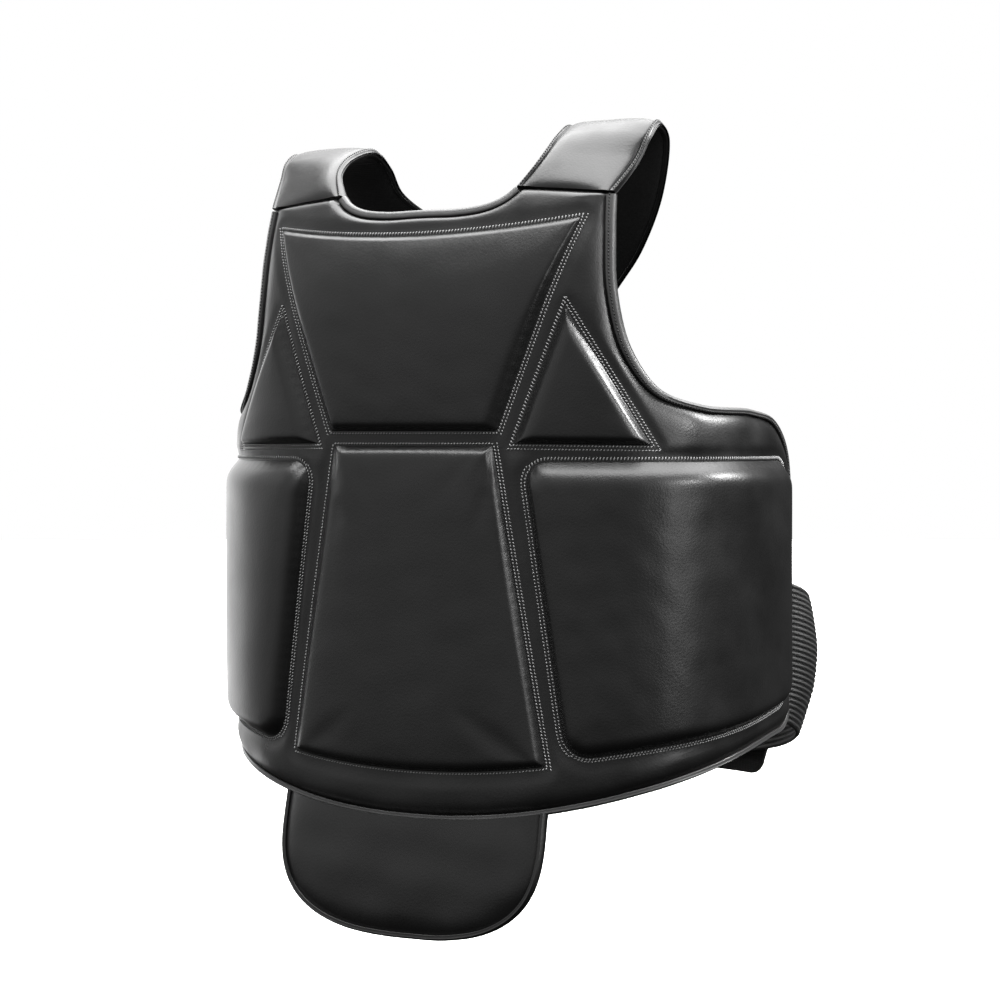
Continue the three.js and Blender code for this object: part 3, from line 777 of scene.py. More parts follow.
def swell(piece, held, most):
    """Fill a piece like a sewn cushion: a short cloth simulation under pressure, held at its sewn points."""
    group = piece.vertex_groups.new(name="sewn")
    group.add(np.flatnonzero(held).tolist(), 1.0, "REPLACE")
    cloth = piece.modifiers.new("filling", "CLOTH")
    cloth.settings.quality = FILLING["quality"]
    cloth.settings.mass = FILLING["mass"]
    cloth.settings.tension_stiffness = cloth.settings.compression_stiffness = FILLING["tension"]
    cloth.settings.shear_stiffness = FILLING["shear"]
    cloth.settings.bending_stiffness = FILLING["bending"]
    cloth.settings.use_pressure = True
    cloth.settings.uniform_pressure_force = FILLING["pressure"]
    cloth.settings.vertex_group_mass = group.name
    cloth.settings.effector_weights.gravity = 0
    cloth.collision_settings.use_collision = False
    cloth.collision_settings.use_self_collision = False
    scene = bpy.context.scene
    for step in range(1, FILLING["frames"] + 1):
        scene.frame_set(step)
    filled = piece.evaluated_get(bpy.context.evaluated_depsgraph_get()).to_mesh()
    count = len(piece.data.vertices)
    before, after = np.empty(count * 3), np.empty(count * 3)
    piece.data.vertices.foreach_get("co", before)
    filled.vertices.foreach_get("co", after)
    move = (after - before).reshape(-1, 3)
    far = np.linalg.norm(move, axis=1, keepdims=True)
    move *= np.tanh(far / most) * most / np.maximum(far, 1e-9)
    piece.modifiers.remove(cloth)
    piece.vertex_groups.clear()
    piece.data.vertices.foreach_set("co", before + move.ravel())
    scene.frame_set(1)


def subdivided(piece):
    """One round of smooth subdivision, applied."""
    piece.modifiers.new("smooth", "SUBSURF").levels = 1
    made = bpy.data.meshes.new_from_object(piece.evaluated_get(bpy.context.evaluated_depsgraph_get()))
    piece.modifiers.clear()
    old, piece.data = piece.data, made
    made.name = old.name + "_smooth"
    bpy.data.meshes.remove(old)


class PROTECTOR_OT_pads(bpy.types.Operator):
    """Make the six raised pads on the shell"""

    bl_idname = "protector.pads"
    bl_label = "Raised pads"

    def execute(self, context):
        sizes, finish = settings(context)
        for number, (name, pad) in enumerate(PADS.items()):
            self.make(name, pad, number, sizes, finish)
        return {"FINISHED"}

    def make(self, name, pad, number, sizes, finish):
        bl, br, tr, tl = np.array(pad["corners"], float)
        across = edge_shares(max(br[0] - bl[0], tr[0] - tl[0]))
        up = edge_shares(tl[1] - bl[1])
        if pad["side"] < 0:
            across = across[::-1]
        places = pad_place(pad, across[None, :], up[:, None])
        rows, columns = places.shape[:2]
        flat = places.reshape(-1, 2)
        from_rim = nearest(tree_of(PAD_OUTLINES[name]), flat)[0]
        rim = np.zeros((rows, columns), bool)
        rim[0] = rim[-1] = rim[:, 0] = rim[:, -1] = True
        from_rim[rim.ravel()] = 0
        foot = sizes.shell_puff / MM - sizes.channel_depth / MM - PAD_FOOT["sunk"]
        face = soft_least(self.ramps(pad, flat), pad["height"] - foot, pad["soft"])
        face = np.where(from_rim > 0, face, 0)
        crown = pad["crown"] * (1 - np.exp(-from_rim / PAD_FOOT["crown_reach"]))
        top = foot + np.maximum(0, face) + crown
        points = np.vstack([on_torso(*flat.T, top), on_torso(*flat.T, foot - PAD_FOOT["under"])])
        piece = add_mesh(name + "_leather", points, np.vstack(sheet_faces(rows, columns)), [finish["pads"]])
        held = np.concatenate([from_rim < PAD_FOOT["sewn"], np.ones(len(flat), bool)])
        swell(piece, held, sizes.pad_swell)
        subdivided(piece)
        self.pucker(piece, name, number, sizes)
        piece.data.shade_smooth()
        finish_piece(piece, name)

    def ramps(self, pad, flat):
        """Height of the slopes that rise from a pad's four sides, the lowest at each place."""
        slopes = []
        for side, rise in zip(PAD_SIDES, pad["rise"]):
            way = nearest(tree_of(evenly_along(pad_side(pad, side), 300)), flat)[0]
            step = pad.get("top_step") if side == "top" else None
            slopes.append(np.minimum(rise * way, step + SLOW_RISE * way) if step else rise * way)
        return np.min(slopes, axis=0)

    def pucker(self, piece, name, number, sizes):
        """Small tucks that the sewn edge draws into the leather, and a slight unevenness of the face."""
        outline = PAD_OUTLINES[name]
        rim = on_torso(*outline.T, 0.0) * MM
        run = run_length(outline)
        mesh = piece.data
        co, normal = (np.empty(len(mesh.vertices) * 3) for _ in range(2))
        mesh.vertices.foreach_get("co", co)
        mesh.vertex_normals.foreach_get("vector", normal)
        co, normal = co.reshape(-1, 3), normal.reshape(-1, 3)
        from_rim, number_at = nearest(tree_of(rim), co)
        from_rim = from_rim / MM
        at = run[number_at] + uneven("tucks", run[number_at], np.zeros(len(co)), number)
        deep = np.exp(-(((from_rim - TUCKS["at"]) / TUCKS["width"]) ** 2))
        tuck = (0.5 + 0.5 * np.sin(2 * math.pi * at / TUCKS["pitch"])) * deep
        x, y, z = co.T / MM
        face = smooth_step((from_rim - TUCKS["face_from"]) / TUCKS["face_reach"])
        move = -sizes.pucker * tuck + MM * uneven("pad", x + y, z, number) * face
        mesh.vertices.foreach_set("co", (co + normal * move[:, None]).ravel())
        mesh.update()


def binding_profile(faces, reach):
    """Sections of a strip folded over an edge: ways in from the edge, and lifts off the sheet's face."""
    outer, inner = faces
    angle = np.radians(BINDING_FOLD["angles"])
    middle, half = (outer + inner) / 2, (outer - inner) / 2 + BINDING_FOLD["proud"]
    round_edge = BINDING_FOLD["from"] - BINDING_FOLD["depth"] * np.cos(angle)
    fold = np.stack([round_edge, middle + half * np.sin(angle)])
    share = reach[:, None] / BINDING_LEG
    way, lift = np.array(BINDING_SECTION).T
    fold_way, fold_lift = (np.tile(row, (len(reach), 1)) for row in fold)
    ways = np.hstack([way * share, fold_way, way[::-1] * share])
    lifts = np.hstack([outer + lift * share, fold_lift, inner - lift[::-1] * share])
    return ways, lifts


def inward_of(rim):
    """Direction into the sheet on the unrolled surface, for a rim with the sheet on its left."""
    step = np.gradient(rim, axis=0)
    return unit(np.stack([-step[:, 1], step[:, 0]], 1))


def shortened(rim, start=0.0, end=0.0):
    """A rim with a little cut off its ends, at even steps."""
    way = run_length(rim)
    at = np.linspace(start, way[-1] - end, int((way[-1] - start - end) / BINDING_STEP))
    return np.stack([np.interp(at, way, column) for column in rim.T], 1)


def flap_x():
    return FLAP["centre_x"] + FLAP["half_width"] * np.sin(math.pi / 2 * np.linspace(-1, 1, FLAP["columns"]))


def flap_top_z(x):
    return hem_z(x) - FLAP["below_hem"]


def flap_bottom_z(x):
    share = np.minimum(1, np.abs(x - FLAP["centre_x"]) / FLAP["half_width"])
    rounded = (1 - share ** FLAP["roundness"]) ** (1 / FLAP["roundness"])
    return mix(FLAP["side_z"], FLAP["bottom_z"], rounded)


def on_flap(x, z, lift):
    """Points off the flap's front face, which is curved with the hem at its top and flatter below."""
    x, z, lift = np.broadcast_arrays(*(np.asarray(a, float) for a in (x, z, lift)))
    down = np.clip((FLAP["hang_z"] - z) / (FLAP["hang_z"] - FLAP["bottom_z"]), 0, 1)
    hung = 1 - (1 - down) ** FLAP["hang_curve"]
    middle = on_torso(np.zeros_like(x), z, 0.0)[..., 1]
    curved = (on_torso(x, z, 0.0)[..., 1] - middle) * mix(1, FLAP["flatten"], hung)
    return np.stack([x, middle + curved - FLAP["forward"] * hung - lift, z], -1)


def bound_edges():
    """Bound edges: rim with the sheet on its left, its surface, the faces there, and the strip's reach."""
    left_neck = LEFT_STATIONS[: NECK_END + 1, :2]
    neck = np.vstack([left_neck[:0:-1], left_neck * (-1, 1)])
    armhole = LEFT_STATIONS[SEAM_END:, :2][::-1]
    x = flap_x()
    flap = np.vstack([
        (x[0], flap_top_z(x[0]) + FLAP["tuck"]),
        np.stack([x, flap_bottom_z(x)], 1),
        (x[-1], flap_top_z(x[-1]) + FLAP["tuck"]),
    ])
    edges = {
        "neck_binding": (shortened(neck, 0.3, 0.3), on_torso, SHELL_RIM, NECK_LEG),
        "left_armhole_binding": (shortened(armhole, 0, 1), on_torso, SHELL_RIM, None),
        "right_armhole_binding": (shortened(armhole[::-1] * (-1, 1), 1, 0), on_torso, SHELL_RIM, None),
        "hem_binding": (shortened(HEM_LINE, 1, 1), on_torso, SHELL_RIM, HEM_LEG),
        "flap_binding": (shortened(flap), on_flap, FLAP_RIM, FLAP_LEG),
    }
    return {
        node: (rim, surface, faces, np.full(len(rim), leg) if leg else armhole_leg(rim[:, 0]))
        for node, (rim, surface, faces, leg) in edges.items()
    }


class PROTECTOR_OT_bindings(bpy.types.Operator):
    """Make the leather strips folded over the edges"""

    bl_idname = "protector.bindings"
    bl_label = "Edge bindings"

    def execute(self, context):
        finish = settings(context)[1]
        for number, (node, (rim, surface, faces, reach)) in enumerate(bound_edges().items()):
            way, lift = binding_profile(faces, reach)
            inward = inward_of(rim)
            run = run_length(rim)
            pull = BINDING_PULL["depth"] * np.sin(2 * math.pi * run / BINDING_PULL["pitch"])
            pull = (pull + uneven("binding", run, 0 * run, number))[:, None]
            way = way + BINDING_PULL["in"] * pull
            arc, z = rim[:, :1] + inward[:, :1] * way, rim[:, 1:] + inward[:, 1:] * way
            at_side = np.abs(rim[:, 0]) > SIDE_ARC - BINDING_END["side"]
            sunk = (np.exp(-np.minimum(run, run[-1] - run) / BINDING_END["reach"]) * at_side)[:, None]
            flat = np.clip(lift, faces[1] - BINDING_END["lift"], faces[0] + BINDING_END["lift"])
            points = surface(arc, z, mix(lift + BINDING_PULL["up"] * pull * (lift > faces[0]), flat, sunk))
            # The neck, armhole and hem strips take the lighter grey, which on the hem is partly a painted
            # highlight along the fold; the flap's strip keeps the shell's black.
            leather = finish["shell"] if node == "flap_binding" else finish["binding"]
            faces = loft_faces(*way.shape)
            piece = add_mesh(node + "_leather", points, faces, [leather], sharp=60, face_out=True)
            finish_piece(piece, node)
        return {"FINISHED"}


def strap_lines():
    """The strap's edges from the seam to the band, and its thickness, as rows of points."""
    (arc0, z0), (arc1, z1) = SHOULDER_SEAM
    seam = on_torso([arc0, arc1], [z0, z1], 0.0) + (0, 0, STRAP["seam_gap"])
    neck = np.vstack([seam[0], [row[0] for row in STRAP_SECTIONS]])
    arm = np.vstack([seam[1], [row[1] for row in STRAP_SECTIONS]])
    return neck, arm, np.array([STRAP["seam_thick"], *(row[2] for row in STRAP_SECTIONS)], float)


def strap_frame(along, side):
    """Per station of a strap: its edges, the way out of its face, and its thickness in the middle."""
    neck_row, arm_row, thick_row = strap_lines()
    neck, arm = curve_through(neck_row, along), curve_through(arm_row, along)
    ahead, behind = (
        (curve_through(neck_row, along + s) + curve_through(arm_row, along + s)) / 2
        for s in (STRAP["look"], -STRAP["look"])
    )
    place = along * (len(thick_row) - 1)
    outward = unit(np.cross(arm - neck, ahead - behind))
    middle = np.mean(SHOULDER_SEAM, axis=0)
    face = on_torso(middle[0], SHOULDER_SEAM[1][1], 1.0) - on_torso(middle[0], SHOULDER_SEAM[1][1], 0.0)
    outward = unit(mix(outward, face, np.maximum(0, 1 - place)[:, None]))
    rise = STRAP_RISE[side] * np.sin(math.pi * np.minimum(1, along / STRAP_RISE["reach"])) ** 2
    thick = np.interp(place, np.arange(len(thick_row)), thick_row)
    return neck, arm, outward, rise, thick, place


def strap_points(across, along, lift, side):
    """Points off a strap's outer face. across and lift have a row of values for each station along."""
    neck, arm, outward, rise, *_ = strap_frame(along, side)
    point = mix(neck[:, None], arm[:, None], across[..., None])
    crossing = STRAP_CROSSING["lift"] if side == "right" else 0
    away = np.minimum(1, np.abs(point[..., 2] - STRAP_CROSSING["z"]) / STRAP_CROSSING["reach"])
    over = np.where(point[..., 1] > 0, crossing * np.cos(math.pi / 2 * away) ** 2, 0)
    crown = STRAP["crown"] * 4 * across * (1 - across) * np.sin(math.pi * along)[:, None]
    point[..., 2] += rise[:, None]
    point = point + outward[:, None] * (over + crown + lift)[..., None]
    return point * MIRROR[side]


class PROTECTOR_OT_straps(bpy.types.Operator):
    """Make the padded shoulder straps with their bound edges"""

    bl_idname = "protector.straps"
    bl_label = "Shoulder straps"

    def execute(self, context):
        finish = settings(context)[1]
        for number, side in enumerate(MIRROR):
            self.make(side, number, finish)
        return {"FINISHED"}

    def make(self, side, number, finish):
        along = np.linspace(0, 1, STRAP["rows"])
        neck, arm, _, _, thick, place = strap_frame(along, side)
        width = np.linalg.norm(arm - neck, axis=1)[:, None]
        edge, outer, inner = np.array(STRAP_EDGE).T
        run = run_length((neck + arm) / 2)[:, None]
        squeeze = np.exp(-np.minimum(run, run[-1] - run) / STRAP_SEWN["reach"])
        soft = smooth_step((edge - STRAP_FACE["from"]) / STRAP_FACE["reach"])
        face = outer * mix(1, STRAP_SEWN["edge_share"], squeeze) - STRAP_SEWN["depth"] * squeeze * soft
        near_face, far_face = (
            face + uneven("strap", run, way, number) * soft * (1 - squeeze) for way in (edge, width - edge)
        )
        across = np.hstack([edge / width, 1 - edge[::-1] / width])
        middle = 4 * across * (1 - across)
        thinning = STRAP["edge_thinning"] * (1 - middle) * np.minimum(1, place)[:, None]
        back = -(thick[:, None] - thinning) + np.hstack([inner, inner[::-1]])
        front = np.hstack([near_face, far_face[:, ::-1]])
        edge_lift = -(thick[:, None] - STRAP["edge_thinning"] * np.minimum(1, place)[:, None]) / 2
        lip, groove = STRAP_WALL["lip"] / width, STRAP_WALL["groove"] / width
        ring_across = np.hstack([-lip, groove, -lip, across, 1 + lip, 1 - groove, 1 + lip, across[:, ::-1]])
        wall = edge_lift + np.array([-1, 0, 1]) * STRAP_WALL["half"]
        ring_lift = np.hstack([wall, front, wall[:, ::-1], back[:, ::-1]])
        points = strap_points(ring_across, along, ring_lift, side)
        around = ring_across.shape[1]
        column = np.arange(around)
        first_back = around - back.shape[1]
        last_back = around - STRAP_EDGE_COLUMNS - 1
        inside_strip = (column >= first_back + STRAP_EDGE_COLUMNS) & (column < last_back)
        picks = np.concatenate([np.tile(inside_strip, len(along) - 1).astype(int), [0, 0]])
        piece = add_mesh(
            side + "_strap_leather", points, loft_faces(len(along), around),
            [finish["shell"], finish["lining"]], picks, sharp=60, face_out=True,
        )
        finish_piece(piece, side + "_shoulder_strap")


def band_place(arc, up):
    """Height and lift of the band, which sags towards the back and stands off the torso behind the sides."""
    from_side = np.maximum(0, np.minimum(arc, 2 * HALF_GIRTH - arc) - SIDE_ARC)
    drop = BAND["droop"] * np.sin(math.pi / 2 * np.minimum(1, from_side / BAND["droop_reach"]))
    share = np.minimum(1, from_side / BAND["slack_reach"])
    start, span = BAND["slack_rows"]
    slack = BAND["slack"] * np.sin(math.pi * share ** BAND["slack_skew"])
    slack = slack * np.sin(math.pi * (start + span * up))
    return BAND["side_top_z"] - BAND["width"] * (1 - up) - drop, slack - SHELL_WALL / 2


class PROTECTOR_OT_band(bpy.types.Operator):
    """Make the ribbed elastic band round the back"""

    bl_idname = "protector.band"
    bl_label = "Elastic band"

    def execute(self, context):
        sizes, finish = settings(context)
        ribs = round(BAND["width"] / (sizes.rib_spacing / MM))
        up = np.linspace(0, 1, ribs * BAND["rows_per_rib"] + 1)[:, None]
        start = SIDE_ARC - BAND["tuck"]
        arc = np.linspace(start, 2 * HALF_GIRTH - start, BAND["columns"])[None, :]
        z, lift = band_place(arc, up)
        rib = sizes.rib_height / MM * np.abs(np.sin(math.pi * ribs * up)) ** BAND["rib_roundness"]
        gather = uneven("band", arc, BAND["width"] * up)
        half = BAND["thickness"] / 2 - BAND["rib_sunk"]
        outer, inner = (on_torso(arc, z, lift + way * (half + rib) + gather) for way in (1, -1))
        points = np.vstack([outer.reshape(-1, 3), inner.reshape(-1, 3)])
        faces = np.vstack(sheet_faces(up.shape[0], arc.shape[1]))
        piece = add_mesh("band_elastic", points, faces, [finish["elastic"]], sharp=75)
        finish_piece(piece, "elastic_band")
        return {"FINISHED"}


TAB_PAD = {
    "corners": [
        (TAB["from_arc"] + TAB["slant"], TAB["bottom_z"]), (TAB["to_arc"], TAB["bottom_z"]),
        (TAB["to_arc"], TAB["top_z"]), (TAB["from_arc"], TAB["top_z"]),
    ],
    "dips": (0, 0), "corner": TAB["corner"], "side": 1,
}


def tab_seat(arc, z, sizes):
    """Lift of the tab's back, which lies on the band's ribs."""
    up = np.clip(1 + (z - band_place(arc, 1.0)[0]) / BAND["width"], 0, 1)
    return band_place(arc, up)[1] + BAND["thickness"] / 2 + sizes.rib_height / MM + TAB["gap"]


class PROTECTOR_OT_tab(bpy.types.Operator):
    """Make the closure tab on the band"""

    bl_idname = "protector.tab"
    bl_label = "Closure tab"

    def execute(self, context):
        sizes, finish = settings(context)
        across, up = np.linspace(0, 1, TAB["columns"]), np.linspace(0, 1, TAB["rows"])
        places = pad_place(TAB_PAD, across[None, :], up[:, None])
        rows, columns = places.shape[:2]
        flat = places.reshape(-1, 2)
        from_rim = nearest(tree_of(pad_outline(TAB_PAD)), flat)[0]
        seat = tab_seat(*flat.T, sizes)
        hem = TAB_HEM["depth"] * np.exp(-(((from_rim - TAB_HEM["in"]) / TAB_HEM["width"]) ** 2))
        hem = hem + TAB_HEM["edge_drop"] * np.exp(-from_rim / TAB_HEM["edge_width"])
        top = seat + TAB["thickness"] - hem + uneven("tab", *flat.T)
        points = np.vstack([on_torso(*flat.T, top), on_torso(*flat.T, seat)])
        faces = np.vstack(sheet_faces(rows, columns))
        piece = add_mesh("tab_cloth", points, faces, [finish["tab"]], sharp=60)
        finish_piece(piece, "closure_tab")
        return {"FINISHED"}


class PROTECTOR_OT_flap(bpy.types.Operator):
    """Make the padded flap that hangs below the hem"""

    bl_idname = "protector.flap"
    bl_label = "Hem flap"

    def execute(self, context):
        sizes, finish = settings(context)
        x = flap_x()[None, :]
        up = np.linspace(0, 1, FLAP["rows"])[:, None]
        z = mix(flap_bottom_z(x), flap_top_z(x) + FLAP["tuck"], up)
        x = np.broadcast_to(x, z.shape)
        rim = bound_edges()["flap_binding"][0]
        flat = np.stack([x, z], -1).reshape(-1, 2)
        from_edge = np.maximum(0, nearest(tree_of(rim), flat)[0] - FLAP_LEG - GROOVE_WIDTH)
        pressed = np.exp(-from_edge / (sizes.edge_roll / MM))
        swell_here = uneven("flap", *flat.T) * (1 - pressed)
        outer = mix(sizes.shell_puff / MM, FLAP_RIM[0] - GROOVE, pressed) + swell_here
        inner = mix(-FLAP["thickness"], FLAP_RIM[1], pressed) + FLAP["back_share"] * swell_here
        points = np.vstack([on_flap(*flat.T, outer), on_flap(*flat.T, inner)])
        faces = sheet_faces(*z.shape)
        picks = np.repeat([0, 1, 0], [len(f) for f in faces])
        leathers = [finish["shell"], finish["lining"]]
        piece = add_mesh("flap_leather", points, np.vstack(faces), leathers, picks)
        finish_piece(piece, "hem_flap")
        return {"FINISHED"}


def surface_row(surface, places, lift):
    """A path at a lift over places on a surface, and the way out of the surface along it."""
    return surface(*places.T, lift), surface(*places.T, 1.0) - surface(*places.T, 0.0)


# Rows of stitches beside each kind of pad: way out from the pad, turn of the stitches and their length, as
# shares of the usual ones.
SINGLE_ROW = ((1.2, 1.0, 1.0),)
TWIN_ROWS = ((0.9, 1.0, 1.0), (3.2, 1.0, 1.0))
CLOSE_ROWS = ((0.9, 1.0, 1.0), (2.3, 1.0, 1.0))
LADDER_ROW = ((1.8, 2.9, 1.5),)
SEWN_SIDES = {
    "chest_pad": {"left": TWIN_ROWS, "right": TWIN_ROWS, "top": LADDER_ROW},
    "centre_pad": {"right": TWIN_ROWS},
    "triangle_pad": {"left": LADDER_ROW, "right": TWIN_ROWS, "bottom": TWIN_ROWS, "top": ()},
    "rib_pad": {"left": TWIN_ROWS, "top": LADDER_ROW, "bottom": CLOSE_ROWS},
}
OPPOSITE = {"left": "right", "right": "left"}
# Rows on the bound edges, as a share of the strip's full reach: way in and lift; then rows beside the shell's
# sides, on the tab and on the straps.
STRIP_ROW = {"in": 2.5, "lift": 1.4}
SIDE_ROW_IN = 7
TAB_ROW_DOWN = 0.5
STRAP_ROW = {"in": 1.5, "lift": 0.05, "along": (0.004, 0.996), "points": 500}


def carried_on(line, beside):
    """A straight row, made longer at its upper end up to where it meets the row beside it."""
    low, high = line[np.argsort(line[:, 1])[[0, -1]]]
    a, b = beside[[0, -1]]
    (ux, uy), (vx, vy), (wx, wy) = high - low, b - a, a - low
    meet = low + (high - low) * (wx * vy - wy * vx) / (ux * vy - uy * vx)
    ends = np.array([meet, low] if line[0, 1] > line[-1, 1] else [low, meet])
    return evenly_along(ends, int(np.linalg.norm(meet - low)))


class PROTECTOR_OT_stitching(bpy.types.Operator):
    """Sew every row of stitches"""

    bl_idname = "protector.stitching"
    bl_label = "Stitching"

    def execute(self, context):
        sizes, finish = settings(context)
        add_stitching("pad_stitching", self.pad_rows(sizes), finish["thread"])
        add_stitching("edge_stitching", self.edge_rows(sizes), finish["edge_thread"])
        add_stitching("strap_stitching", self.strap_rows(sizes), finish["edge_thread"])
        return {"FINISHED"}

    def pad_rows(self, sizes):
        rows = []
        for name, pad in PADS.items():
            kind = name.split("_", 1)[1]
            for side in PAD_SIDES:
                for by, turn, stretch in SEWN_SIDES[kind].get(side, SINGLE_ROW):
                    line = pad_side(grown(pad, by), side)
                    if kind == "triangle_pad" and side in OPPOSITE:
                        other = OPPOSITE[side]
                        beside = pad_side(grown(pad, SEWN_SIDES[kind][other][-1][0]), other)
                        line = carried_on(line, beside)
                    path = surface_row(on_torso, line, shell_lift(line, sizes)[0])
                    rows.append(stitches(*path, sizes, turn * pad["side"], stretch))
        return rows

    def edge_rows(self, sizes):
        rows = []
        for rim, surface, faces, reach in bound_edges().values():
            if max(reach) <= NECK_LEG:
                continue  # a narrow strip has no row of its own
            share = reach / BINDING_LEG
            line = rim + STRIP_ROW["in"] * share[:, None] * inward_of(rim)
            rows.append(stitches(*surface_row(surface, line, faces[0] + STRIP_ROW["lift"] * share), sizes))
        side_row = SIDE_LINE[3:-4] - (SIDE_ROW_IN, 0)
        for turn in (1, -1):
            line = side_row * (turn, 1)
            rows.append(stitches(*surface_row(on_torso, line, shell_lift(line, sizes)[0]), sizes))
        hem = pad_outline({**grown(TAB_PAD, -TAB_HEM["in"]), "corner": TAB["corner"] - TAB_HEM["in"]})
        top = tab_seat(*hem.T, sizes) + TAB["thickness"]
        rows.append(stitches(*surface_row(on_torso, hem, top - TAB_ROW_DOWN), sizes))
        return rows

    def strap_rows(self, sizes):
        rows = []
        along = np.linspace(*STRAP_ROW["along"], STRAP_ROW["points"])
        lift = np.full((len(along), 1), STRAP_ROW["lift"])
        for side in MIRROR:
            neck, arm, outward, *_ = strap_frame(along, side)
            way_in = STRAP_ROW["in"] / np.linalg.norm(arm - neck, axis=1)
            for across in (way_in, 1 - way_in):
                path = strap_points(across[:, None], along, lift, side)[:, 0]
                rows.append(stitches(path, outward * MIRROR[side], sizes))
        return rows


# Stage

CAMERA = {"target": (0, 33.6, -235), "distance": 1664, "azimuth": 28, "elevation": 1.49, "lens": 86.87}
FLOOR = {"z": -640, "radius": 9000, "corners": 64, "patch": 400}
# Softboxes: place and size in millimetres, and power in watts. They are aimed at the middle of the protector.
SOFTBOX_AIM = (0, 30, -250)
SOFTBOXES = [
    ("side_strip", (1785, -650, 100), (340, 1100), 5.8),
    ("rear_softbox", (-1836, 856, -50), (1700, 2000), 24),
    ("left_softbox", (-1984, -532, 187), (1000, 1000), 1.0),
    ("back_softbox", (-700, 1600, 1050), (2200, 1300), 14),
]
# Small lamps on the chest at the wearer's left: place, and power in watts, then what is the same for both.
CHEST_LAMPS = [("high_lamp", (1768, 926, 995), 200), ("shoulder_lamp", (2216, -274, 575), 65)]
CHEST_LAMP = {"aim": (135, -55, -105), "radius": 120, "cone": 30, "soft": 0.3}
OVERHEAD = {"from": (0.0, 0.12, 1.0), "spread": 82, "strength": 13.0}
# The room's own light: brightest at the front left, dim behind on the right, and dimmed to the floor's level
# between two heights of the sky, the dusk.
ROOM = {
    "bright_side": (-0.6, -0.8, 0.35), "levels": (0.05, 0.21, 0.64), "floor_level": 0.15,
    "dusk": (-0.4, 0.05),
}


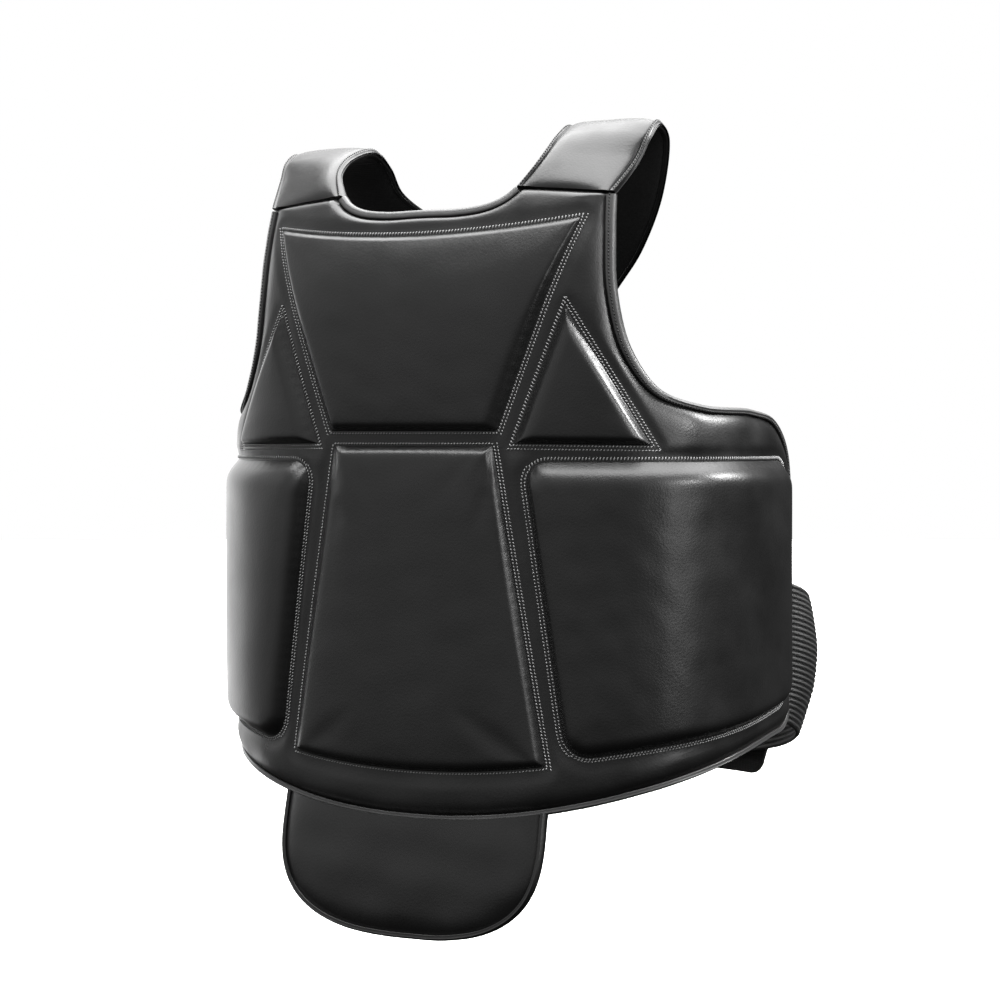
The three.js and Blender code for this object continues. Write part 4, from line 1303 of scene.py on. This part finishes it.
class PROTECTOR_OT_stage(bpy.types.Operator):
    """Set up the floor, the lights and the camera"""

    bl_idname = "protector.stage"
    bl_label = "Stage"

    def execute(self, context):
        scene = context.scene
        self.floor(scene)
        self.light(scene)
        self.camera(scene)
        scene.view_settings.view_transform = "Standard"
        return {"FINISHED"}

    def floor(self, scene):
        material, tree, shader, place = new_material("painted_floor")
        patch_scale = per_metre(FLOOR["patch"])
        speckle = add_node(tree, "ShaderNodeTexNoise", {"Vector": place, "Scale": patch_scale, "Detail": 2})
        pale = scene.protector_colours.floor
        shade = add_node(
            tree, "ShaderNodeMix",
            {"Factor": speckle.outputs["Fac"], "A": (*(c * 0.97 for c in pale), 1), "B": (*pale, 1)},
            data_type="RGBA",
        )
        tree.links.new(shade.outputs[2], shader.inputs["Base Color"])
        shader.inputs["Roughness"].default_value = 0.9
        turn = np.linspace(0, 2 * math.pi, FLOOR["corners"], endpoint=False)
        x, y = FLOOR["radius"] * np.cos(turn), FLOOR["radius"] * np.sin(turn)
        disc = np.stack([x, y, np.full(len(turn), FLOOR["z"])], 1)
        floor = add_mesh("studio_floor", disc, [list(range(len(turn)))], [material])
        floor.visible_glossy = floor.visible_diffuse = False

    def light(self, scene):
        world = bpy.data.worlds.new("studio_air")
        world.use_nodes = True
        scene.world = world
        tree = world.node_tree
        place = add_node(tree, "ShaderNodeTexCoord").outputs["Generated"]
        side = add_node(
            tree, "ShaderNodeVectorMath", {0: place, 1: ROOM["bright_side"]}, operation="DOT_PRODUCT",
        ).outputs["Value"]
        share = add_node(tree, "ShaderNodeMapRange", {"Value": side, "From Min": -1.0, "From Max": 1.0})
        ramp = add_node(tree, "ShaderNodeValToRGB", {"Fac": share.outputs[0]})
        ramp.color_ramp.elements.new(0.5)
        for stop, grey in zip(ramp.color_ramp.elements, ROOM["levels"]):
            stop.color = (grey, grey, grey, 1)
        height = add_node(tree, "ShaderNodeSeparateXYZ", {0: place}).outputs["Z"]
        level = add_node(
            tree, "ShaderNodeMapRange",
            {
                "Value": height, "From Min": ROOM["dusk"][0], "From Max": ROOM["dusk"][1],
                "To Min": ROOM["floor_level"], "To Max": 1.0,
            },
        )
        room = tree.nodes["Background"]
        tree.links.new(ramp.outputs["Color"], room.inputs["Color"])
        tree.links.new(level.outputs[0], room.inputs["Strength"])
        backdrop = add_node(tree, "ShaderNodeBackground", {"Color": (1, 1, 1, 1)})
        seen = add_node(tree, "ShaderNodeLightPath").outputs["Is Camera Ray"]
        both = add_node(tree, "ShaderNodeMixShader", {0: seen, 1: room.outputs[0], 2: backdrop.outputs[0]})
        tree.links.new(both.outputs[0], tree.nodes["World Output"].inputs["Surface"])
        sun = bpy.data.lights.new("overhead_light", "SUN")
        sun.energy, sun.angle = OVERHEAD["strength"], math.radians(OVERHEAD["spread"])
        lamp = bpy.data.objects.new("overhead_light", sun)
        lamp.rotation_euler = (-Vector(OVERHEAD["from"])).to_track_quat("-Z", "Y").to_euler()
        scene.collection.objects.link(lamp)
        for name, place, size, watts in SOFTBOXES:
            light = self.lamp(scene, name, "AREA", place, SOFTBOX_AIM, watts)
            light.shape = "RECTANGLE"
            light.size, light.size_y = size[0] * MM, size[1] * MM
        for name, place, watts in CHEST_LAMPS:
            light = self.lamp(scene, name, "SPOT", place, CHEST_LAMP["aim"], watts)
            light.shadow_soft_size = CHEST_LAMP["radius"] * MM
            light.spot_size, light.spot_blend = math.radians(CHEST_LAMP["cone"]), CHEST_LAMP["soft"]

    def lamp(self, scene, name, kind, place, aim, watts):
        """A light that hangs at a place and points at its aim, out of the camera's sight."""
        light = bpy.data.lights.new(name, kind)
        light.energy = watts
        lamp = bpy.data.objects.new(name, light)
        lamp.location = Vector(place) * MM
        lamp.rotation_euler = (Vector(aim) - Vector(place)).to_track_quat("-Z", "Y").to_euler()
        lamp.visible_camera = False
        scene.collection.objects.link(lamp)
        return light

    def camera(self, scene):
        data = bpy.data.cameras.new("photo_camera")
        data.lens, data.sensor_width = CAMERA["lens"], 36
        camera = bpy.data.objects.new("photo_camera", data)
        around, above = math.radians(CAMERA["azimuth"]), math.radians(CAMERA["elevation"])
        level = math.cos(above)
        back = Vector((math.sin(around) * level, -math.cos(around) * level, math.sin(above)))
        camera.location = (Vector(CAMERA["target"]) + CAMERA["distance"] * back) * MM
        camera.rotation_euler = (-back).to_track_quat("-Z", "Y").to_euler()
        data.clip_start, data.clip_end = 0.05, 50
        scene.collection.objects.link(camera)
        scene.camera = camera


STEPS = (
    PROTECTOR_OT_shell, PROTECTOR_OT_pads, PROTECTOR_OT_bindings, PROTECTOR_OT_straps, PROTECTOR_OT_band,
    PROTECTOR_OT_tab, PROTECTOR_OT_flap, PROTECTOR_OT_stitching, PROTECTOR_OT_stage,
)


class PROTECTOR_PT_panel(bpy.types.Panel):
    """Sizes, colours and pieces of the protector"""

    bl_idname = "PROTECTOR_PT_panel"
    bl_label = "Chest protector"
    bl_space_type = "VIEW_3D"
    bl_region_type = "UI"
    bl_category = "Protector"

    def draw(self, context):
        for group in (context.scene.protector_sizes, context.scene.protector_colours):
            for key in group.__annotations__:
                self.layout.prop(group, key)
        for step in STEPS:
            self.layout.operator(step.bl_idname)


CLASSES = (ProtectorSizes, ProtectorColours, *STEPS, PROTECTOR_PT_panel)


def register():
    for cls in CLASSES:
        bpy.utils.register_class(cls)
    bpy.types.Scene.protector_sizes = bpy.props.PointerProperty(type=ProtectorSizes)
    bpy.types.Scene.protector_colours = bpy.props.PointerProperty(type=ProtectorColours)


def unregister():
    del bpy.types.Scene.protector_colours
    del bpy.types.Scene.protector_sizes
    for cls in reversed(CLASSES):
        bpy.utils.unregister_class(cls)


def main():
    register()
    bpy.ops.protector.shell()
    bpy.ops.protector.pads()
    bpy.ops.protector.bindings()
    bpy.ops.protector.straps()
    bpy.ops.protector.band()
    bpy.ops.protector.tab()
    bpy.ops.protector.flap()
    bpy.ops.protector.stitching()
    bpy.ops.protector.stage()


if __name__ == "__main__":
    main()
